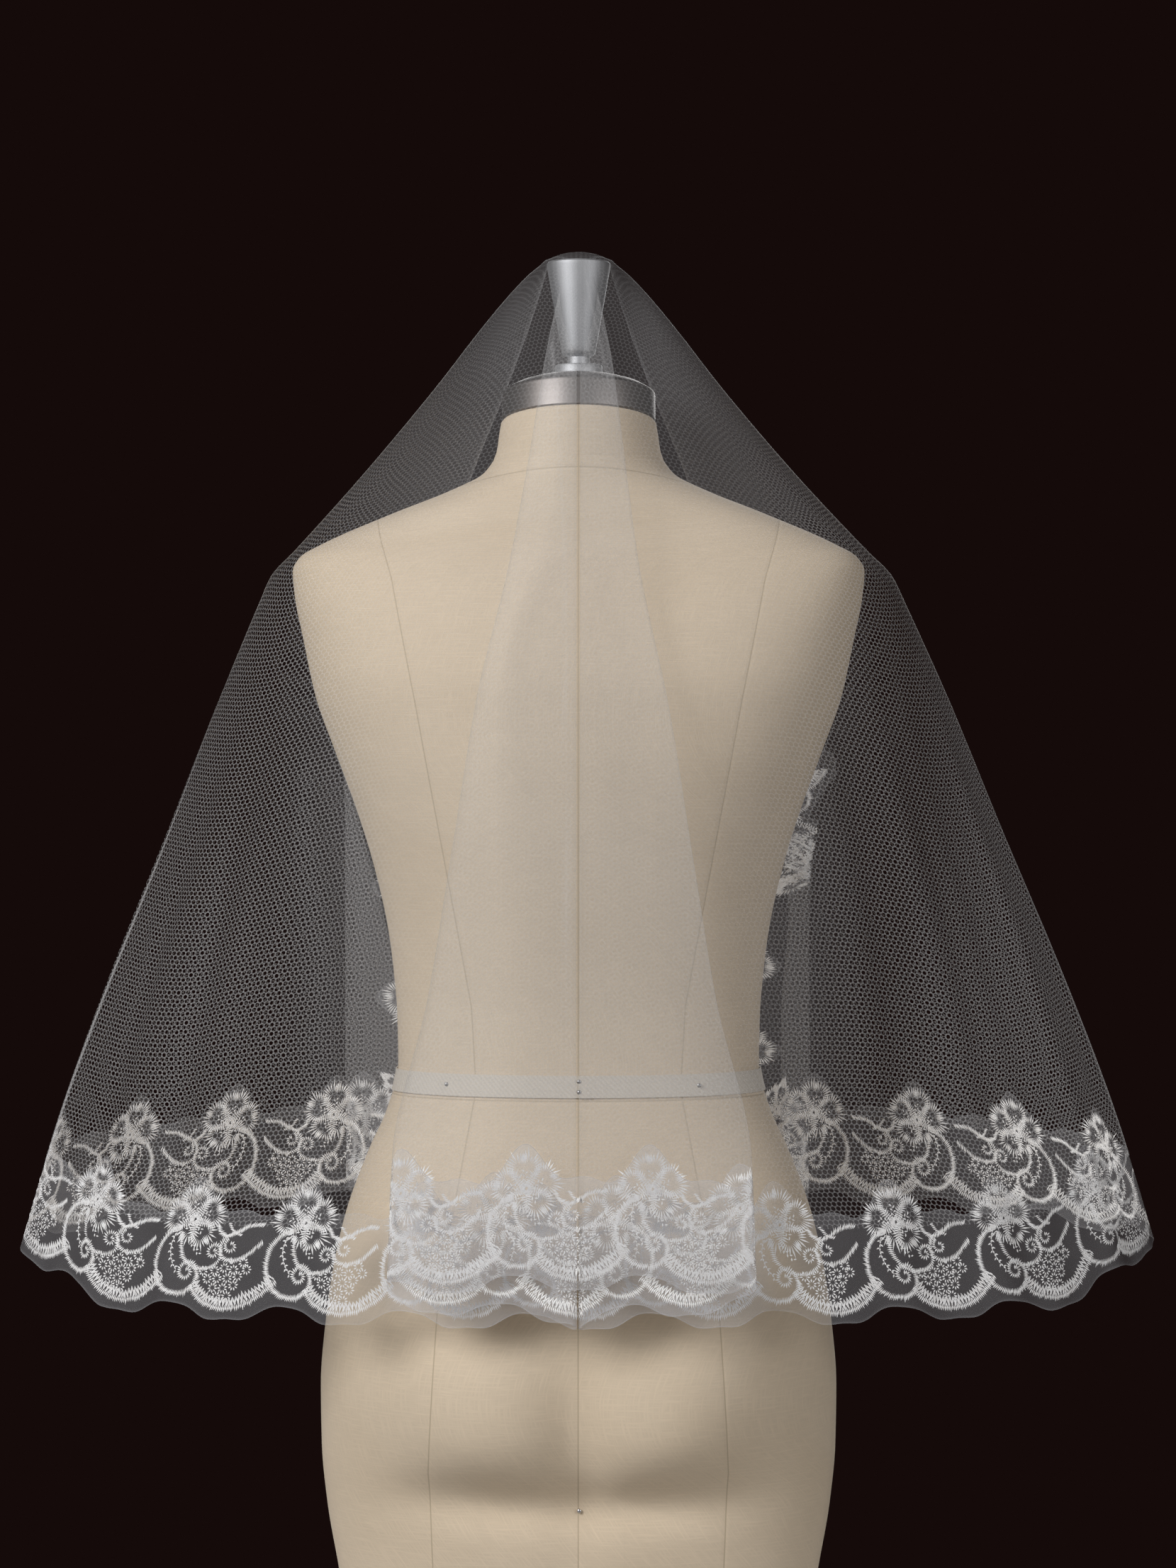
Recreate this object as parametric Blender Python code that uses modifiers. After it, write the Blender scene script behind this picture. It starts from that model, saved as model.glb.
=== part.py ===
"""A hip-length bridal veil with a lace border, draped over the hanging post of a limbless dress form.

The veil is one oval of soft net, about 1.6 m wide and 0.8 m long, with a straight top edge. It lies over
the post's flat top, falls in a box pleat down the centre of the back, is held out by both shoulders, and
comes forward to two folded front edges. A border of embroidered lace is sewn all round its curved edge.

+Z is up, the form's back faces -Y and its front +Y. The origin is the middle of the stand's underside.
"""

import math

import bmesh
import bpy
import numpy as np
from mathutils import Matrix

MM = 0.001
GAP = 0.3  # between pieces that touch, in millimetres, as every size below is

# The stand and the form, from the floor up.
BASE_RADIUS = 180.0
BASE_THICKNESS = 12.0
POLE_RADIUS = 15.0
TORSO_BOTTOM = 145.0
NECK_TOP = 988.0  # the middle of the sloping neck joint
NECK_TILT = math.radians(8.0)  # the neck joint is higher at the back
NECK_RADIUS = 52.5
CAP_RADIUS = 51.5
CAP_HEIGHT = 20.0
CAP_DOME = 10.5
FLANGE_BOTTOM = 1020.0
POST_TOP = 1095.5

# The horizontal sections of the form: half its width, and how far its back and its front lie from the
# plane of the side seams. "square" is the exponent of the section's rounded outline, 2 for an ellipse.
TORSO_COLUMNS = ("height", "half_width", "back", "front", "square")
TORSO_ROWS = (
    (145.0, 149.0, 71.0, 80.0, 2.3),
    (185.0, 155.0, 76.0, 84.0, 2.3),
    (220.0, 160.5, 81.0, 88.0, 2.3),
    (266.0, 168.4, 91.0, 94.0, 2.3),
    (305.0, 172.0, 104.0, 99.0, 2.3),
    (345.0, 172.6, 111.0, 103.0, 2.3),
    (390.0, 169.0, 109.0, 105.0, 2.3),
    (424.0, 164.0, 104.0, 104.0, 2.2),
    (459.0, 156.0, 96.0, 101.0, 2.2),
    (500.0, 141.0, 86.0, 95.0, 2.1),
    (528.0, 128.5, 78.0, 90.0, 2.1),
    (558.0, 121.0, 74.0, 86.0, 2.1),
    (590.0, 121.6, 76.0, 88.0, 2.1),
    (620.0, 124.0, 81.0, 92.0, 2.1),
    (650.0, 128.0, 87.0, 97.0, 2.1),
    (690.0, 137.0, 95.0, 105.0, 2.15),
    (726.0, 148.0, 102.0, 111.0, 2.2),
    (769.0, 163.7, 106.0, 109.0, 2.3),
    (803.0, 175.8, 106.0, 98.0, 2.4),
    (844.0, 184.7, 98.0, 80.0, 2.5),
    (870.0, 190.0, 88.0, 69.0, 2.5),
    (888.0, 191.6, 77.0, 61.0, 2.5),
    (897.0, 187.0, 71.0, 58.0, 2.5),
    (906.0, 172.0, 66.5, 56.5, 2.4),
    (926.0, 126.0, 61.0, 55.0, 2.3),
    (942.0, 86.0, 58.0, 54.0, 2.1),
    (953.0, 64.5, 57.0, 54.0, 2.0),
    (963.0, 56.5, 56.0, 54.0, 2.0),
)

# Soft swellings of the form: where each one is, how far it stands out, and how wide and high it is.
SWELLING_COLUMNS = ("x", "height", "out", "wide", "high", "faces")
SWELLINGS = (
    (82.0, 748.0, 25.0, 44.0, 42.0, 1.0),
    (-82.0, 748.0, 25.0, 44.0, 42.0, 1.0),
    (72.0, 352.0, 20.0, 44.0, 36.0, -1.0),
    (-72.0, 352.0, 20.0, 44.0, 36.0, -1.0),
    (0.0, 300.0, -7.0, 12.0, 40.0, -1.0),
)

TAPE_BOTTOM = 541.0
TAPE_TOP = 555.5
TAPE_THICKNESS = 1.0
TORSO_STEPS = 36

CLOTH = 1.0  # the thickness of the net's and the lace's walls
CREASE_GAP = 0.8  # how far each stretch stops short of the side crease, measured along the cloth
RIM_DROP = 10.0  # the front stretches begin this far below the post's top

# The lace border: the real one's repeat, and its height to the top of each lobe and between two lobes,
# measured up from the tips of its scallops. The net ends along its upper edge.
LACE_REPEAT = 81.0
LACE_HEIGHT = 92.0
LACE_VALLEY = 78.0
SCALLOP_DEPTH = 10.0
CORNER_RADIUS = 96.0
BEND = (CORNER_RADIUS - 0.5 * LACE_HEIGHT) * math.pi / 2

# The veil's outline, by how far each section is below the post's top: its depth behind the form at the
# centre of the back, half its width at the side crease, and how far forward that crease lies. Sections
# with a drop under 0 cross the post's flat top.
OUTLINE_COLUMNS = ("drop", "back", "wing", "side_y", "square")
OUTLINE_ROWS = (
    (-30.0, -14.0, 8.0, 14.0, 2.0),
    (-15.0, 4.0, 14.0, 3.0, 2.0),
    (0.0, 22.3, 22.6, -2.0, 2.0),
    (10.0, 28.0, 34.0, -3.0, 2.0),
    (25.0, 36.0, 48.0, -3.5, 2.0),
    (50.0, 47.5, 68.5, -4.0, 2.0),
    (80.0, 58.5, 91.5, -4.5, 2.0),
    (110.0, 66.5, 116.0, -5.0, 2.0),
    (150.0, 77.0, 150.5, -5.0, 2.0),
    (195.0, 90.5, 192.0, -5.0, 2.0),
    (211.0, 95.0, 207.5, -5.0, 2.0),
    (228.0, 99.5, 215.5, -5.0, 2.0),
    (300.0, 117.0, 246.0, -6.0, 1.9),
    (400.0, 129.0, 282.0, -7.0, 1.8),
    (500.0, 138.0, 318.0, -8.0, 1.7),
    (600.0, 146.0, 351.5, -9.0, 1.6),
    (695.0, 153.0, 379.0, -10.0, 1.6),
)

# The front edge of the veil, from the post's top down to the hem.
EDGE_COLUMNS = ("drop", "edge_x", "edge_y")
EDGE_ROWS = (
    (-30.0, 15.0, 12.0),
    (-15.0, 19.0, 11.5),
    (0.0, 20.5, 10.5),
    (15.0, 24.5, 14.0),
    (45.0, 34.5, 21.0),
    (80.0, 48.0, 31.5),
    (145.0, 75.0, 53.0),
    (210.0, 95.0, 78.0),
    (260.0, 100.0, 101.0),
    (300.0, 97.0, 120.0),
    (345.0, 84.0, 138.0),
    (400.0, 64.0, 145.0),
    (460.0, 53.0, 146.0),
    (520.0, 52.0, 146.5),
    (695.0, 52.0, 148.0),
)

# The box pleat: half the width of its top panel, and how far it is folded, from 0 for a smooth cloth.
PANEL_COLUMNS = ("drop", "panel", "folded")
PANEL_ROWS = (
    (-30.0, 3.0, 0.0),
    (0.0, 6.0, 0.0),
    (30.0, 12.0, 0.45),
    (80.0, 20.0, 1.0),
    (145.0, 29.0, 1.0),
    (210.0, 39.0, 1.0),
    (300.0, 58.5, 1.0),
    (400.0, 73.5, 1.0),
    (500.0, 88.5, 1.0),
    (600.0, 110.0, 1.0),
    (695.0, 114.0, 1.0),
)
PLEAT_LAYER = 6.0  # from one layer of a fold to the next
PLEAT_HEART = 7.0  # where the two inner folds stop short of the centre line
PANEL_CROWN = 5.0  # how far the top panel swells out at its middle
HEM_DROP = 695.0
PANEL_RISE = 27.0  # the pleat's top panel ends this much higher than the layer under it
SIDE_RISE = 37.0  # so does the side crease,
FRONT_RISE = 48.0  # and the front hem
RISE_START = 250.0
CORNER_DROP = 345.0  # the lace begins at the top corner of each front edge

# How wide each front edge is folded back on itself, and on the right how far its edge is turned outwards.
FOLD_COLUMNS = ("drop", "open", "width_left", "width_right", "flip")
FOLD_ROWS = (
    (230.0, 0.0, 0.0, 0.0, 0.0),
    (300.0, 0.3, 0.0, 30.0, 1.0),
    (340.0, 1.0, 0.0, 34.0, 1.0),
    (372.0, 1.0, 2.0, 34.0, 0.97),
    (405.0, 1.0, 8.0, 18.0, 0.66),
    (465.0, 1.0, 21.0, 10.0, 0.0),
    (550.0, 1.0, 34.0, 15.0, 0.0),
    (695.0, 1.0, 34.0, 15.0, 0.0),
)
FLIP_X = 182.0
# Where the right edge turns in again, the net's wall keeps this much further off the lace.
TURN_DROP = 424.0
TURN_CLEAR = 6.0
TURN_REACH = 22.0  # up and down the cloth

# What differs between the two sides as the veil hangs.
SIDE_COLUMNS = ("name", "sign", "wing_share", "panel_out", "fold_outer", "flip_share")
SIDES = (
    ("left", -1.0, 0.986, 4.0, 163.0, 0.0),
    ("right", 1.0, 1.014, -4.0, 161.0, 1.0),
)

# How many steps the coarse wall has along each stretch of a half section.
STRETCH_STEPS = (2, 3, 1, 3, 8, 7, 3, 1, 3, 3)
CREASE = 5  # the place across of the side crease
FULL_TURN = len(STRETCH_STEPS)
NET_DROPS = (
    -30.0, -20.0, -9.0, 0.0, 10.0, 25.0, 50.0, 80.0, 115.0, 155.0, 195.0, 211.0,
    228.0, 270.0, 320.0, 360.0, 400.0, 440.0, 485.0, 535.0, 590.0, 640.0, 695.0,
)  # fmt: skip
WING_PLACES = (5.14, 5.28, 5.43, 5.58, 5.72)  # the columns of a front stretch before its fold
FOLD_SHARES = (0.078, 0.17, 0.266, 0.358, 0.637, 0.73, 0.823, 0.916, 1.0)  # and the rest, up to its end
LACE_STEP = LACE_REPEAT / 7  # from one column of the border's wall to the next
UPRIGHT_STEP = 13.0  # and beside the front edges
UPRIGHT_ROWS = (4, 7)  # how many rows it has there and in front, on the left and on the right
STRIP = 101.0  # above this height over the hem the net's wall is a plain grid


def material(name, colour, roughness, metallic=0.0):
    made = bpy.data.materials.new(name)
    made.use_nodes = True
    shader = made.node_tree.nodes["Principled BSDF"]
    shader.inputs["Base Color"].default_value = (*colour, 1.0)
    shader.inputs["Roughness"].default_value = roughness
    shader.inputs["Metallic"].default_value = metallic
    return made


def column(rows, columns, name):
    return np.array([row[columns.index(name)] for row in rows], float)


def eased(at, rows, columns, name):
    """A column of a table, read at any place of its first column on a smooth curve with no overshoot."""
    x = column(rows, columns, columns[0])
    y = column(rows, columns, name)
    step = np.diff(y) / np.diff(x)
    slope = np.zeros_like(y)
    slope[0], slope[-1] = step[0], step[-1]
    same = step[:-1] * step[1:] > 0
    slope[1:-1][same] = 2 * step[:-1][same] * step[1:][same] / (step[:-1] + step[1:])[same]
    at = np.clip(np.asarray(at, float), x[0], x[-1])
    i = np.clip(np.searchsorted(x, at, side="right") - 1, 0, len(x) - 2)
    width = x[i + 1] - x[i]
    u = (at - x[i]) / width
    return (
        (2 * u**3 - 3 * u**2 + 1) * y[i]
        + (u**3 - 2 * u**2 + u) * width * slope[i]
        + (3 * u**2 - 2 * u**3) * y[i + 1]
        + (u**3 - u**2) * width * slope[i + 1]
    )


def ramp(value, start, length):
    """0 before start, 1 after start + length, and a smooth step between."""
    u = np.clip((value - start) / length, 0.0, 1.0)
    return u * u * (3 - 2 * u)


def corner_arc(u, start, end, square):
    """A quarter of a rounded outline from start, where it runs along x, to end, where it runs along y."""
    power = 2.0 / square
    across = np.sin(u * math.pi / 2) ** power
    along = 1 - np.cos(u * math.pi / 2) ** power
    x = start[0] + (end[0] - start[0]) * across
    y = start[1] + (end[1] - start[1]) * along
    return np.stack([x, y])


def half_turn(u, centre, radius, towards):
    """A U-turn about centre that bulges towards +X or -X and ends further forward."""
    angle = (u - 0.5) * math.pi
    return np.stack([centre[0] + towards * radius * np.cos(angle), centre[1] + radius * np.sin(angle)])


def straight(u, start, end):
    return np.stack([start[0] + (end[0] - start[0]) * u, start[1] + (end[1] - start[1]) * u])


def folded_path(k, size, side):
    """The half section with all its folds, for places k from 0 at the back's centre to 10 at the edge."""
    back = -size["back"]
    layer = PLEAT_LAYER
    top = back - 2 * layer
    panel, heart = size["panel"], PLEAT_HEART
    crease = (size["wing"], size["side_y"])
    front = size["edge_y"] - 2 * layer
    outer = size["fold_outer"]
    inner = outer - size["fold_width"]
    edge = (size["edge_x"], size["edge_y"])
    turned_out = straight((k - 8.0) / 2, (outer, front + layer), (FLIP_X, front + 1.4 * layer))
    u = np.clip(k - np.minimum(np.floor(k), FULL_TURN - 1), 0.0, 1.0)
    pieces = (
        np.stack([panel * u, top - PANEL_CROWN * (1 - u * u)]),
        half_turn(u, (panel, top + layer / 2), layer / 2, 1),
        straight(u, (panel, top + layer), (heart, top + layer)),
        half_turn(u, (heart, top + 1.5 * layer), layer / 2, -1),
        corner_arc(u, (heart, back), crease, size["square"]),
        corner_arc(1 - u, (inner, front), crease, size["square"]),
        half_turn(u, (inner, front + layer / 2), layer / 2, -1),
        straight(u, (inner, front + layer), (outer, front + layer)),
        half_turn(u, (outer, front + 1.5 * layer), layer / 2, 1),
        straight(u, (outer, front + 2 * layer), edge),
    )
    which = np.minimum(np.floor(k), FULL_TURN - 1).astype(int)
    path = np.stack([np.choose(which, [p[axis] for p in pieces]) for axis in (0, 1)])
    return path + (k > 8) * size["flip"] * (turned_out - path)


def smooth_path(k, size):
    """The half section with no fold: one curve behind the side crease and one in front of it."""
    crease = (size["wing"], size["side_y"])
    behind = np.interp(k, (0, 1, 2, 3, 4, 5), (0.0, 0.12, 0.18, 0.24, 0.30, 1.0))
    ahead = np.interp(k, (5, 6, 7, 8, 9, 10), (0.0, 0.56, 0.62, 0.68, 0.74, 1.0))
    near = corner_arc(behind, (0.0, -size["back"]), crease, size["square"])
    far = corner_arc(1 - ahead, (size["edge_x"], size["edge_y"]), crease, size["square"])
    return np.where(k <= CREASE, near, far)


def veil_surface(side, k, drop):
    """Points on the middle of the cloth, in millimetres, for equal arrays of places across and drops."""
    side = dict(zip(SIDE_COLUMNS, side))
    size = {name: eased(drop, OUTLINE_ROWS, OUTLINE_COLUMNS, name) for name in OUTLINE_COLUMNS[1:]}
    size |= {name: eased(drop, EDGE_ROWS, EDGE_COLUMNS, name) for name in EDGE_COLUMNS[1:]}
    size |= {name: eased(drop, PANEL_ROWS, PANEL_COLUMNS, name) for name in PANEL_COLUMNS[1:]}
    low = ramp(drop, 60.0, 240.0)
    size["wing"] = size["wing"] * (1 + (side["wing_share"] - 1) * low)
    size["panel"] = size["panel"] + side["panel_out"] * low
    size["fold_outer"] = np.full_like(drop, side["fold_outer"])
    size["fold_width"] = eased(drop, FOLD_ROWS, FOLD_COLUMNS, "width_" + side["name"])
    size["flip"] = side["flip_share"] * eased(drop, FOLD_ROWS, FOLD_COLUMNS, "flip")
    folded = np.where(k <= CREASE, size["folded"], eased(drop, FOLD_ROWS, FOLD_COLUMNS, "open"))
    x, y = folded * folded_path(k, size, side) + (1 - folded) * smooth_path(k, size)
    rim = POST_TOP + GAP + CLOTH / 2
    reach = np.hypot(x, y) / size_of_rim()
    dome = 6.0 * np.clip(1 - reach**2, 0.0, 1.0)
    rise = ramp(drop, RISE_START, HEM_DROP - RISE_START)
    rise = rise * (
        PANEL_RISE * (1 - ramp(k, 0.0, 4.0))
        + SIDE_RISE * ramp(k, 4.58, 0.42)
        + (FRONT_RISE - SIDE_RISE) * ramp(k, 5.0, 1.0)
    )
    z = np.where(drop < 0, rim + dome, rim - drop + rise)
    return np.stack([side["sign"] * x, y, z], axis=-1)


def size_of_rim():
    return OUTLINE_ROWS[2][OUTLINE_COLUMNS.index("back")]


def places_across(finer=1):
    """The wall's columns on one side, from the centre of the back to the front edge."""
    steps = [np.linspace(i, i + 1, finer * n + 1)[:-1] for i, n in enumerate(STRETCH_STEPS)]
    return np.append(np.concatenate(steps), FULL_TURN)


class VeilGrid:
    """Fine points of the cloth on one side, with how far each is from the front edge and from the hem."""

    def __init__(self, side):
        self.k = places_across(4)
        self.drop = np.append(np.arange(NET_DROPS[0], HEM_DROP, 5.0), HEM_DROP)
        k, drop = np.meshgrid(self.k, self.drop)
        self.points = veil_surface(side, k, drop)
        self.sign = dict(zip(SIDE_COLUMNS, side))["sign"]
        across = np.linalg.norm(np.diff(self.points, axis=1), axis=2)
        self.from_edge = np.pad(across[:, ::-1].cumsum(1)[:, ::-1], ((0, 0), (0, 1)))
        down = np.linalg.norm(np.diff(self.points, axis=0), axis=2)
        self.from_hem = np.pad(down[::-1].cumsum(0)[::-1], ((0, 1), (0, 0)))

    def read(self, values, k, drop):
        """values at any places between the grid's points."""
        i = np.clip(np.searchsorted(self.drop, drop, side="right") - 1, 0, len(self.drop) - 2)
        j = np.clip(np.searchsorted(self.k, k, side="right") - 1, 0, len(self.k) - 2)
        u = (drop - self.drop[i]) / (self.drop[i + 1] - self.drop[i])
        v = (k - self.k[j]) / (self.k[j + 1] - self.k[j])
        if values.ndim == 3:
            u, v = u[..., None], v[..., None]
        above = values[i, j] * (1 - v) + values[i, j + 1] * v
        below = values[i + 1, j] * (1 - v) + values[i + 1, j + 1] * v
        return above * (1 - u) + below * u

    def find(self, from_edge, from_hem):
        """The place k and the drop of the point that lies these two lengths of cloth from the edges."""
        k, drop = FULL_TURN * 0.9, HEM_DROP - from_hem
        for _ in range(6):
            row = self.read(self.from_edge, self.k, np.full_like(self.k, drop))
            k = float(np.interp(from_edge, row[::-1], self.k[::-1]))
            drop = self.drop_above(k, from_hem)
        share = float(ramp(from_edge, CORNER_RADIUS, 9.0))
        if share > 0:
            k += share * (self.hem_place(from_edge) - k)
            drop = self.drop_above(k, from_hem)
        return k, drop

    def drop_above(self, k, from_hem):
        fall = self.read(self.from_hem, np.full_like(self.drop, k), self.drop)
        return float(np.interp(from_hem, fall[::-1], self.drop[::-1]))

    def hem_place(self, from_edge):
        """The place across where the hem is this far from the front edge."""
        return float(np.interp(from_edge, self.from_edge[-1][::-1], self.k[::-1]))

    def hem_along(self, k):
        """How far along the hem a place across is, from the centre of the back."""
        return self.hem_length() - float(np.interp(k, self.k, self.from_edge[-1]))

    def edge_at(self, drop):
        """How much cloth there is between the front edge at this drop and the hem, down that edge."""
        return float(np.interp(drop, self.drop, self.from_hem[:, -1]))

    def hem_length(self):
        return float(self.from_edge[-1, 0])

    def point(self, k, drop):
        return self.read(self.points, np.array(float(k)), np.array(float(drop)))

    def crease_place(self, drop, out):
        """The place across that is this length of cloth in front of the side crease, or behind it."""
        row = self.read(self.from_edge, self.k, np.full_like(self.k, drop))
        wanted = float(np.interp(CREASE, self.k, row)) - out
        return float(np.interp(wanted, row[::-1], self.k[::-1]))


def border_ends(grid, along, gap=0.0):
    """Where the border's scalloped edge and its upper edge are, as lengths from the front edge and the hem,
    at a place along it from the centre of the back. gap moves the upper edge onto the net."""
    turn = 2 * math.pi * along / LACE_REPEAT
    lower = SCALLOP_DEPTH * (0.5 - 0.5 * math.cos(turn)) ** 1.5
    lobe = (LACE_HEIGHT - LACE_VALLEY) * (0.5 + 0.5 * math.cos(turn + 0.5)) ** 1.6
    inner = LACE_VALLEY + gap
    level, bend = grid.hem_length() - CORNER_RADIUS, BEND
    if along <= level:
        from_edge = grid.hem_length() - along
        lobe *= float(ramp(from_edge, CORNER_RADIUS, 60.0))
        return (from_edge, lower), (from_edge, inner + lobe)
    if along >= level + bend:
        height = CORNER_RADIUS + along - level - bend
        return (lower, height), (inner, height)
    share = (along - level) / bend
    angle, radius = share * math.pi / 2, CORNER_RADIUS - lower
    outer = (CORNER_RADIUS - radius * math.sin(angle), CORNER_RADIUS - radius * math.cos(angle))
    reach = CORNER_RADIUS - inner
    corner = (CORNER_RADIUS - reach * min(1.0, 2 * share), CORNER_RADIUS - reach * min(1.0, 2 - 2 * share))
    return outer, corner


def border_length(grid):
    return grid.hem_length() + grid.edge_at(CORNER_DROP) - 2 * CORNER_RADIUS + BEND - 2 * GAP


def upright_start(grid):
    """How far along the border its bend at the front corner ends."""
    return grid.hem_length() - CORNER_RADIUS + BEND


def upright_drop(grid, along):
    """The drop of a place on the border beside the front edge."""
    low = grid.find(LACE_VALLEY, CORNER_RADIUS)[1]
    share = (along - upright_start(grid)) / (border_length(grid) - upright_start(grid))
    return low + (CORNER_DROP + 2 * GAP - low) * share


def wall(name, points, faces, thickness, colour):
    """A sheet made a wall by Solidify, half of it on each side of the points."""
    mesh = bpy.data.meshes.new(name)
    mesh.from_pydata([tuple(p * MM) for p in points], [], faces)
    shell = bmesh.new()
    shell.from_mesh(mesh)
    bmesh.ops.remove_doubles(shell, verts=shell.verts, dist=0.02 * MM)
    bmesh.ops.dissolve_degenerate(shell, edges=shell.edges, dist=0.02 * MM)
    loose = [v for v in shell.verts if not v.link_faces]
    bmesh.ops.delete(shell, geom=loose, context="VERTS")
    shell.to_mesh(mesh)
    shell.free()
    made = bpy.data.objects.new(name, mesh)
    mesh.materials.append(colour)
    solid = made.modifiers.new("thickness", "SOLIDIFY")
    solid.thickness = thickness * MM
    solid.offset = 0.0
    parts().objects.link(made)
    return made


def parts():
    found = bpy.data.collections.get("veil_on_form")
    if found is None:
        found = bpy.data.collections.new("veil_on_form")
        bpy.context.scene.collection.children.link(found)
    return found


def sheet_faces(rows, columns):
    return [
        (r * columns + c, r * columns + c + 1, (r + 1) * columns + c + 1, (r + 1) * columns + c)
        for r in range(rows - 1)
        for c in range(columns - 1)
    ]


def net_edge(grid, start, end):
    """The net's edge along the border between two places, with how far across each point is."""
    found = []
    for along in lace_places(grid, start, end):
        k, drop = grid.find(*border_ends(grid, along, 3 * GAP)[1])
        found.append((k, grid.point(k, drop)))
    return found


def close_strip(points, faces, top, edge):
    """Faces between the net grid's last row, given as (place across, index), and its scalloped lower edge."""
    start = len(points)
    points += [point for _, point in edge]
    places = np.array([place for place, _ in edge])
    ends = [int(np.argmin(np.abs(places - place))) for place, _ in top]
    ends[0], ends[-1] = 0, len(edge) - 1
    for (_, a), (_, b), first, last in zip(top, top[1:], ends, ends[1:]):
        faces.append((a, b, *(start + i for i in range(last, first - 1, -1))))


def net_back(grids, colour):
    """The back of the veil: the crown over the post, the box pleat and both back wings."""
    drops = [d for d in NET_DROPS if d < HEM_DROP - STRIP - 20.0]
    behind = [k for k in places_across() if k <= CREASE]
    ahead = [k for k in places_across() if k > CREASE]
    across = len(behind)
    points, faces = [], []
    for grid in grids:
        start, grid_faces = len(points), []
        for drop in drops + [None]:
            for k in behind:
                here = grid.drop_above(k, STRIP) if drop is None else drop
                place = grid.crease_place(here, -CREASE_GAP) if k == CREASE and here > RIM_DROP else k
                points.append(grid.point(place, here))
        grid_faces += [tuple(start + i for i in f) for f in sheet_faces(len(drops) + 1, across)]
        last = start + len(drops) * across
        top = [(k, last + i) for i, k in enumerate(behind)]
        edge = net_edge(grid, 0.0, grid.hem_along(CREASE) - CREASE_GAP)
        close_strip(points, grid_faces, top, edge)
        crown = [i for i, d in enumerate(drops) if d <= RIM_DROP]
        first = len(points)
        for i in crown:
            points += [grid.point(k, drops[i]) for k in ahead]
        for i in crown[:-1]:
            above, below = (
                [start + (n + 1) * across - 1, *(first + n * len(ahead) + c for c in range(len(ahead)))]
                for n in (i, i + 1)
            )
            for c in range(len(ahead)):
                grid_faces.append((above[c], above[c + 1], below[c + 1], below[c]))
        faces += grid_faces if grid.sign > 0 else [f[::-1] for f in grid_faces]
    return wall("net_back", points, faces, CLOTH, colour)


def net_front(grid, name, colour):
    """One front stretch of the veil, from the side crease round to the front edge."""
    inner = LACE_VALLEY + 6 * GAP
    corner = CORNER_DROP
    steps = UPRIGHT_ROWS[grid.sign > 0]
    across = 1 + len(WING_PLACES) + len(FOLD_SHARES)
    upper = [RIM_DROP + 3 * GAP] + [d for d in NET_DROPS if RIM_DROP < d < corner - 8.0] + [corner]
    turning = grid.hem_length() - CORNER_RADIUS + BEND / 2
    lower = []
    for along in lace_places(grid, turning, border_length(grid))[-2::-1]:
        from_edge, from_hem = border_ends(grid, along)[1]
        if along >= upright_start(grid):
            lower.append(upright_drop(grid, along))
        elif from_hem > STRIP + 6.0:
            lower.append(grid.find(from_edge, from_hem)[1])
    points, faces = [], []

    def limit(drop):
        row = grid.read(grid.from_edge, grid.k, np.full_like(grid.k, drop))
        clear = TURN_CLEAR * math.exp(-(((drop - TURN_DROP) / TURN_REACH) ** 2)) * (grid.sign > 0)
        return float(np.interp(inner + clear, row[::-1], grid.k[::-1]))

    def across_at(drop, end):
        last = WING_PLACES[-1]
        folds = [last + (end - last) * share for share in FOLD_SHARES]
        return [grid.crease_place(drop, CREASE_GAP), *WING_PLACES, *folds]

    spare = front_places(grid, corner, 0.0, inner, steps)[-2::-1]
    wide = across + len(spare)
    for drop in upper:
        points += [grid.point(k, drop) for k in across_at(drop, limit(corner)) + spare]
    faces += sheet_faces(len(upper), wide)
    last = [(len(upper) - 1) * wide + c for c in range(across)]
    for drop in lower + [None]:
        here = grid.find(inner, STRIP)[1] if drop is None else drop
        places = across_at(here, limit(here))
        start = len(points)
        points += [grid.point(k, grid.drop_above(k, STRIP) if drop is None else drop) for k in places]
        row = list(range(start, start + across))
        faces += [(last[c], last[c + 1], row[c + 1], row[c]) for c in range(across - 1)]
        last = row
    edge = net_edge(grid, grid.hem_along(CREASE) + CREASE_GAP, turning)
    close_strip(points, faces, list(zip(places, last)), edge)
    if grid.sign < 0:
        faces = [f[::-1] for f in faces]
    return wall(name, points, faces, CLOTH, colour)


def lace_places(grid, start, end):
    """Where the border's coarse wall has its columns: evenly along it, and close together round the folds."""
    turning, upright = upright_start(grid) - BEND / 2, upright_start(grid)
    places = [start, end] + [turning] * (start < turning < end)
    places += [at for at in np.arange(0.0, min(end, upright), LACE_STEP) if start + 2.0 < at < end - 2.0]
    if end > upright:
        places += list(np.linspace(upright, end, round((end - upright) / UPRIGHT_STEP) + 1)[:-1])
    for k in places_across():
        tight = int(k) in (1, 3, 6, 8) or k in (2, 4, 7, 9)
        if tight and start + 1.0 < grid.hem_along(k) < min(end, upright - BEND) - 1.0:
            places.append(grid.hem_along(k))
    places.sort()
    kept = [places[0]]
    for place in places[1:]:
        if place - kept[-1] > 1.6:
            kept.append(place)
    kept[-1] = end
    return kept


def lace_points(grid, along, steps):
    """The border's points at one place along it, from its scallops to its upper edge."""
    outer, inner = border_ends(grid, along)
    if along >= upright_start(grid):
        drop = upright_drop(grid, along)
        return [grid.point(k, drop) for k in front_places(grid, drop, outer[0], inner[0], steps)]
    found = []
    for share in np.linspace(0.0, 1.0, steps):
        k, drop = grid.find(*(a + (b - a) * share for a, b in zip(outer, inner)))
        found.append(grid.point(k, drop))
    return found


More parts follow.
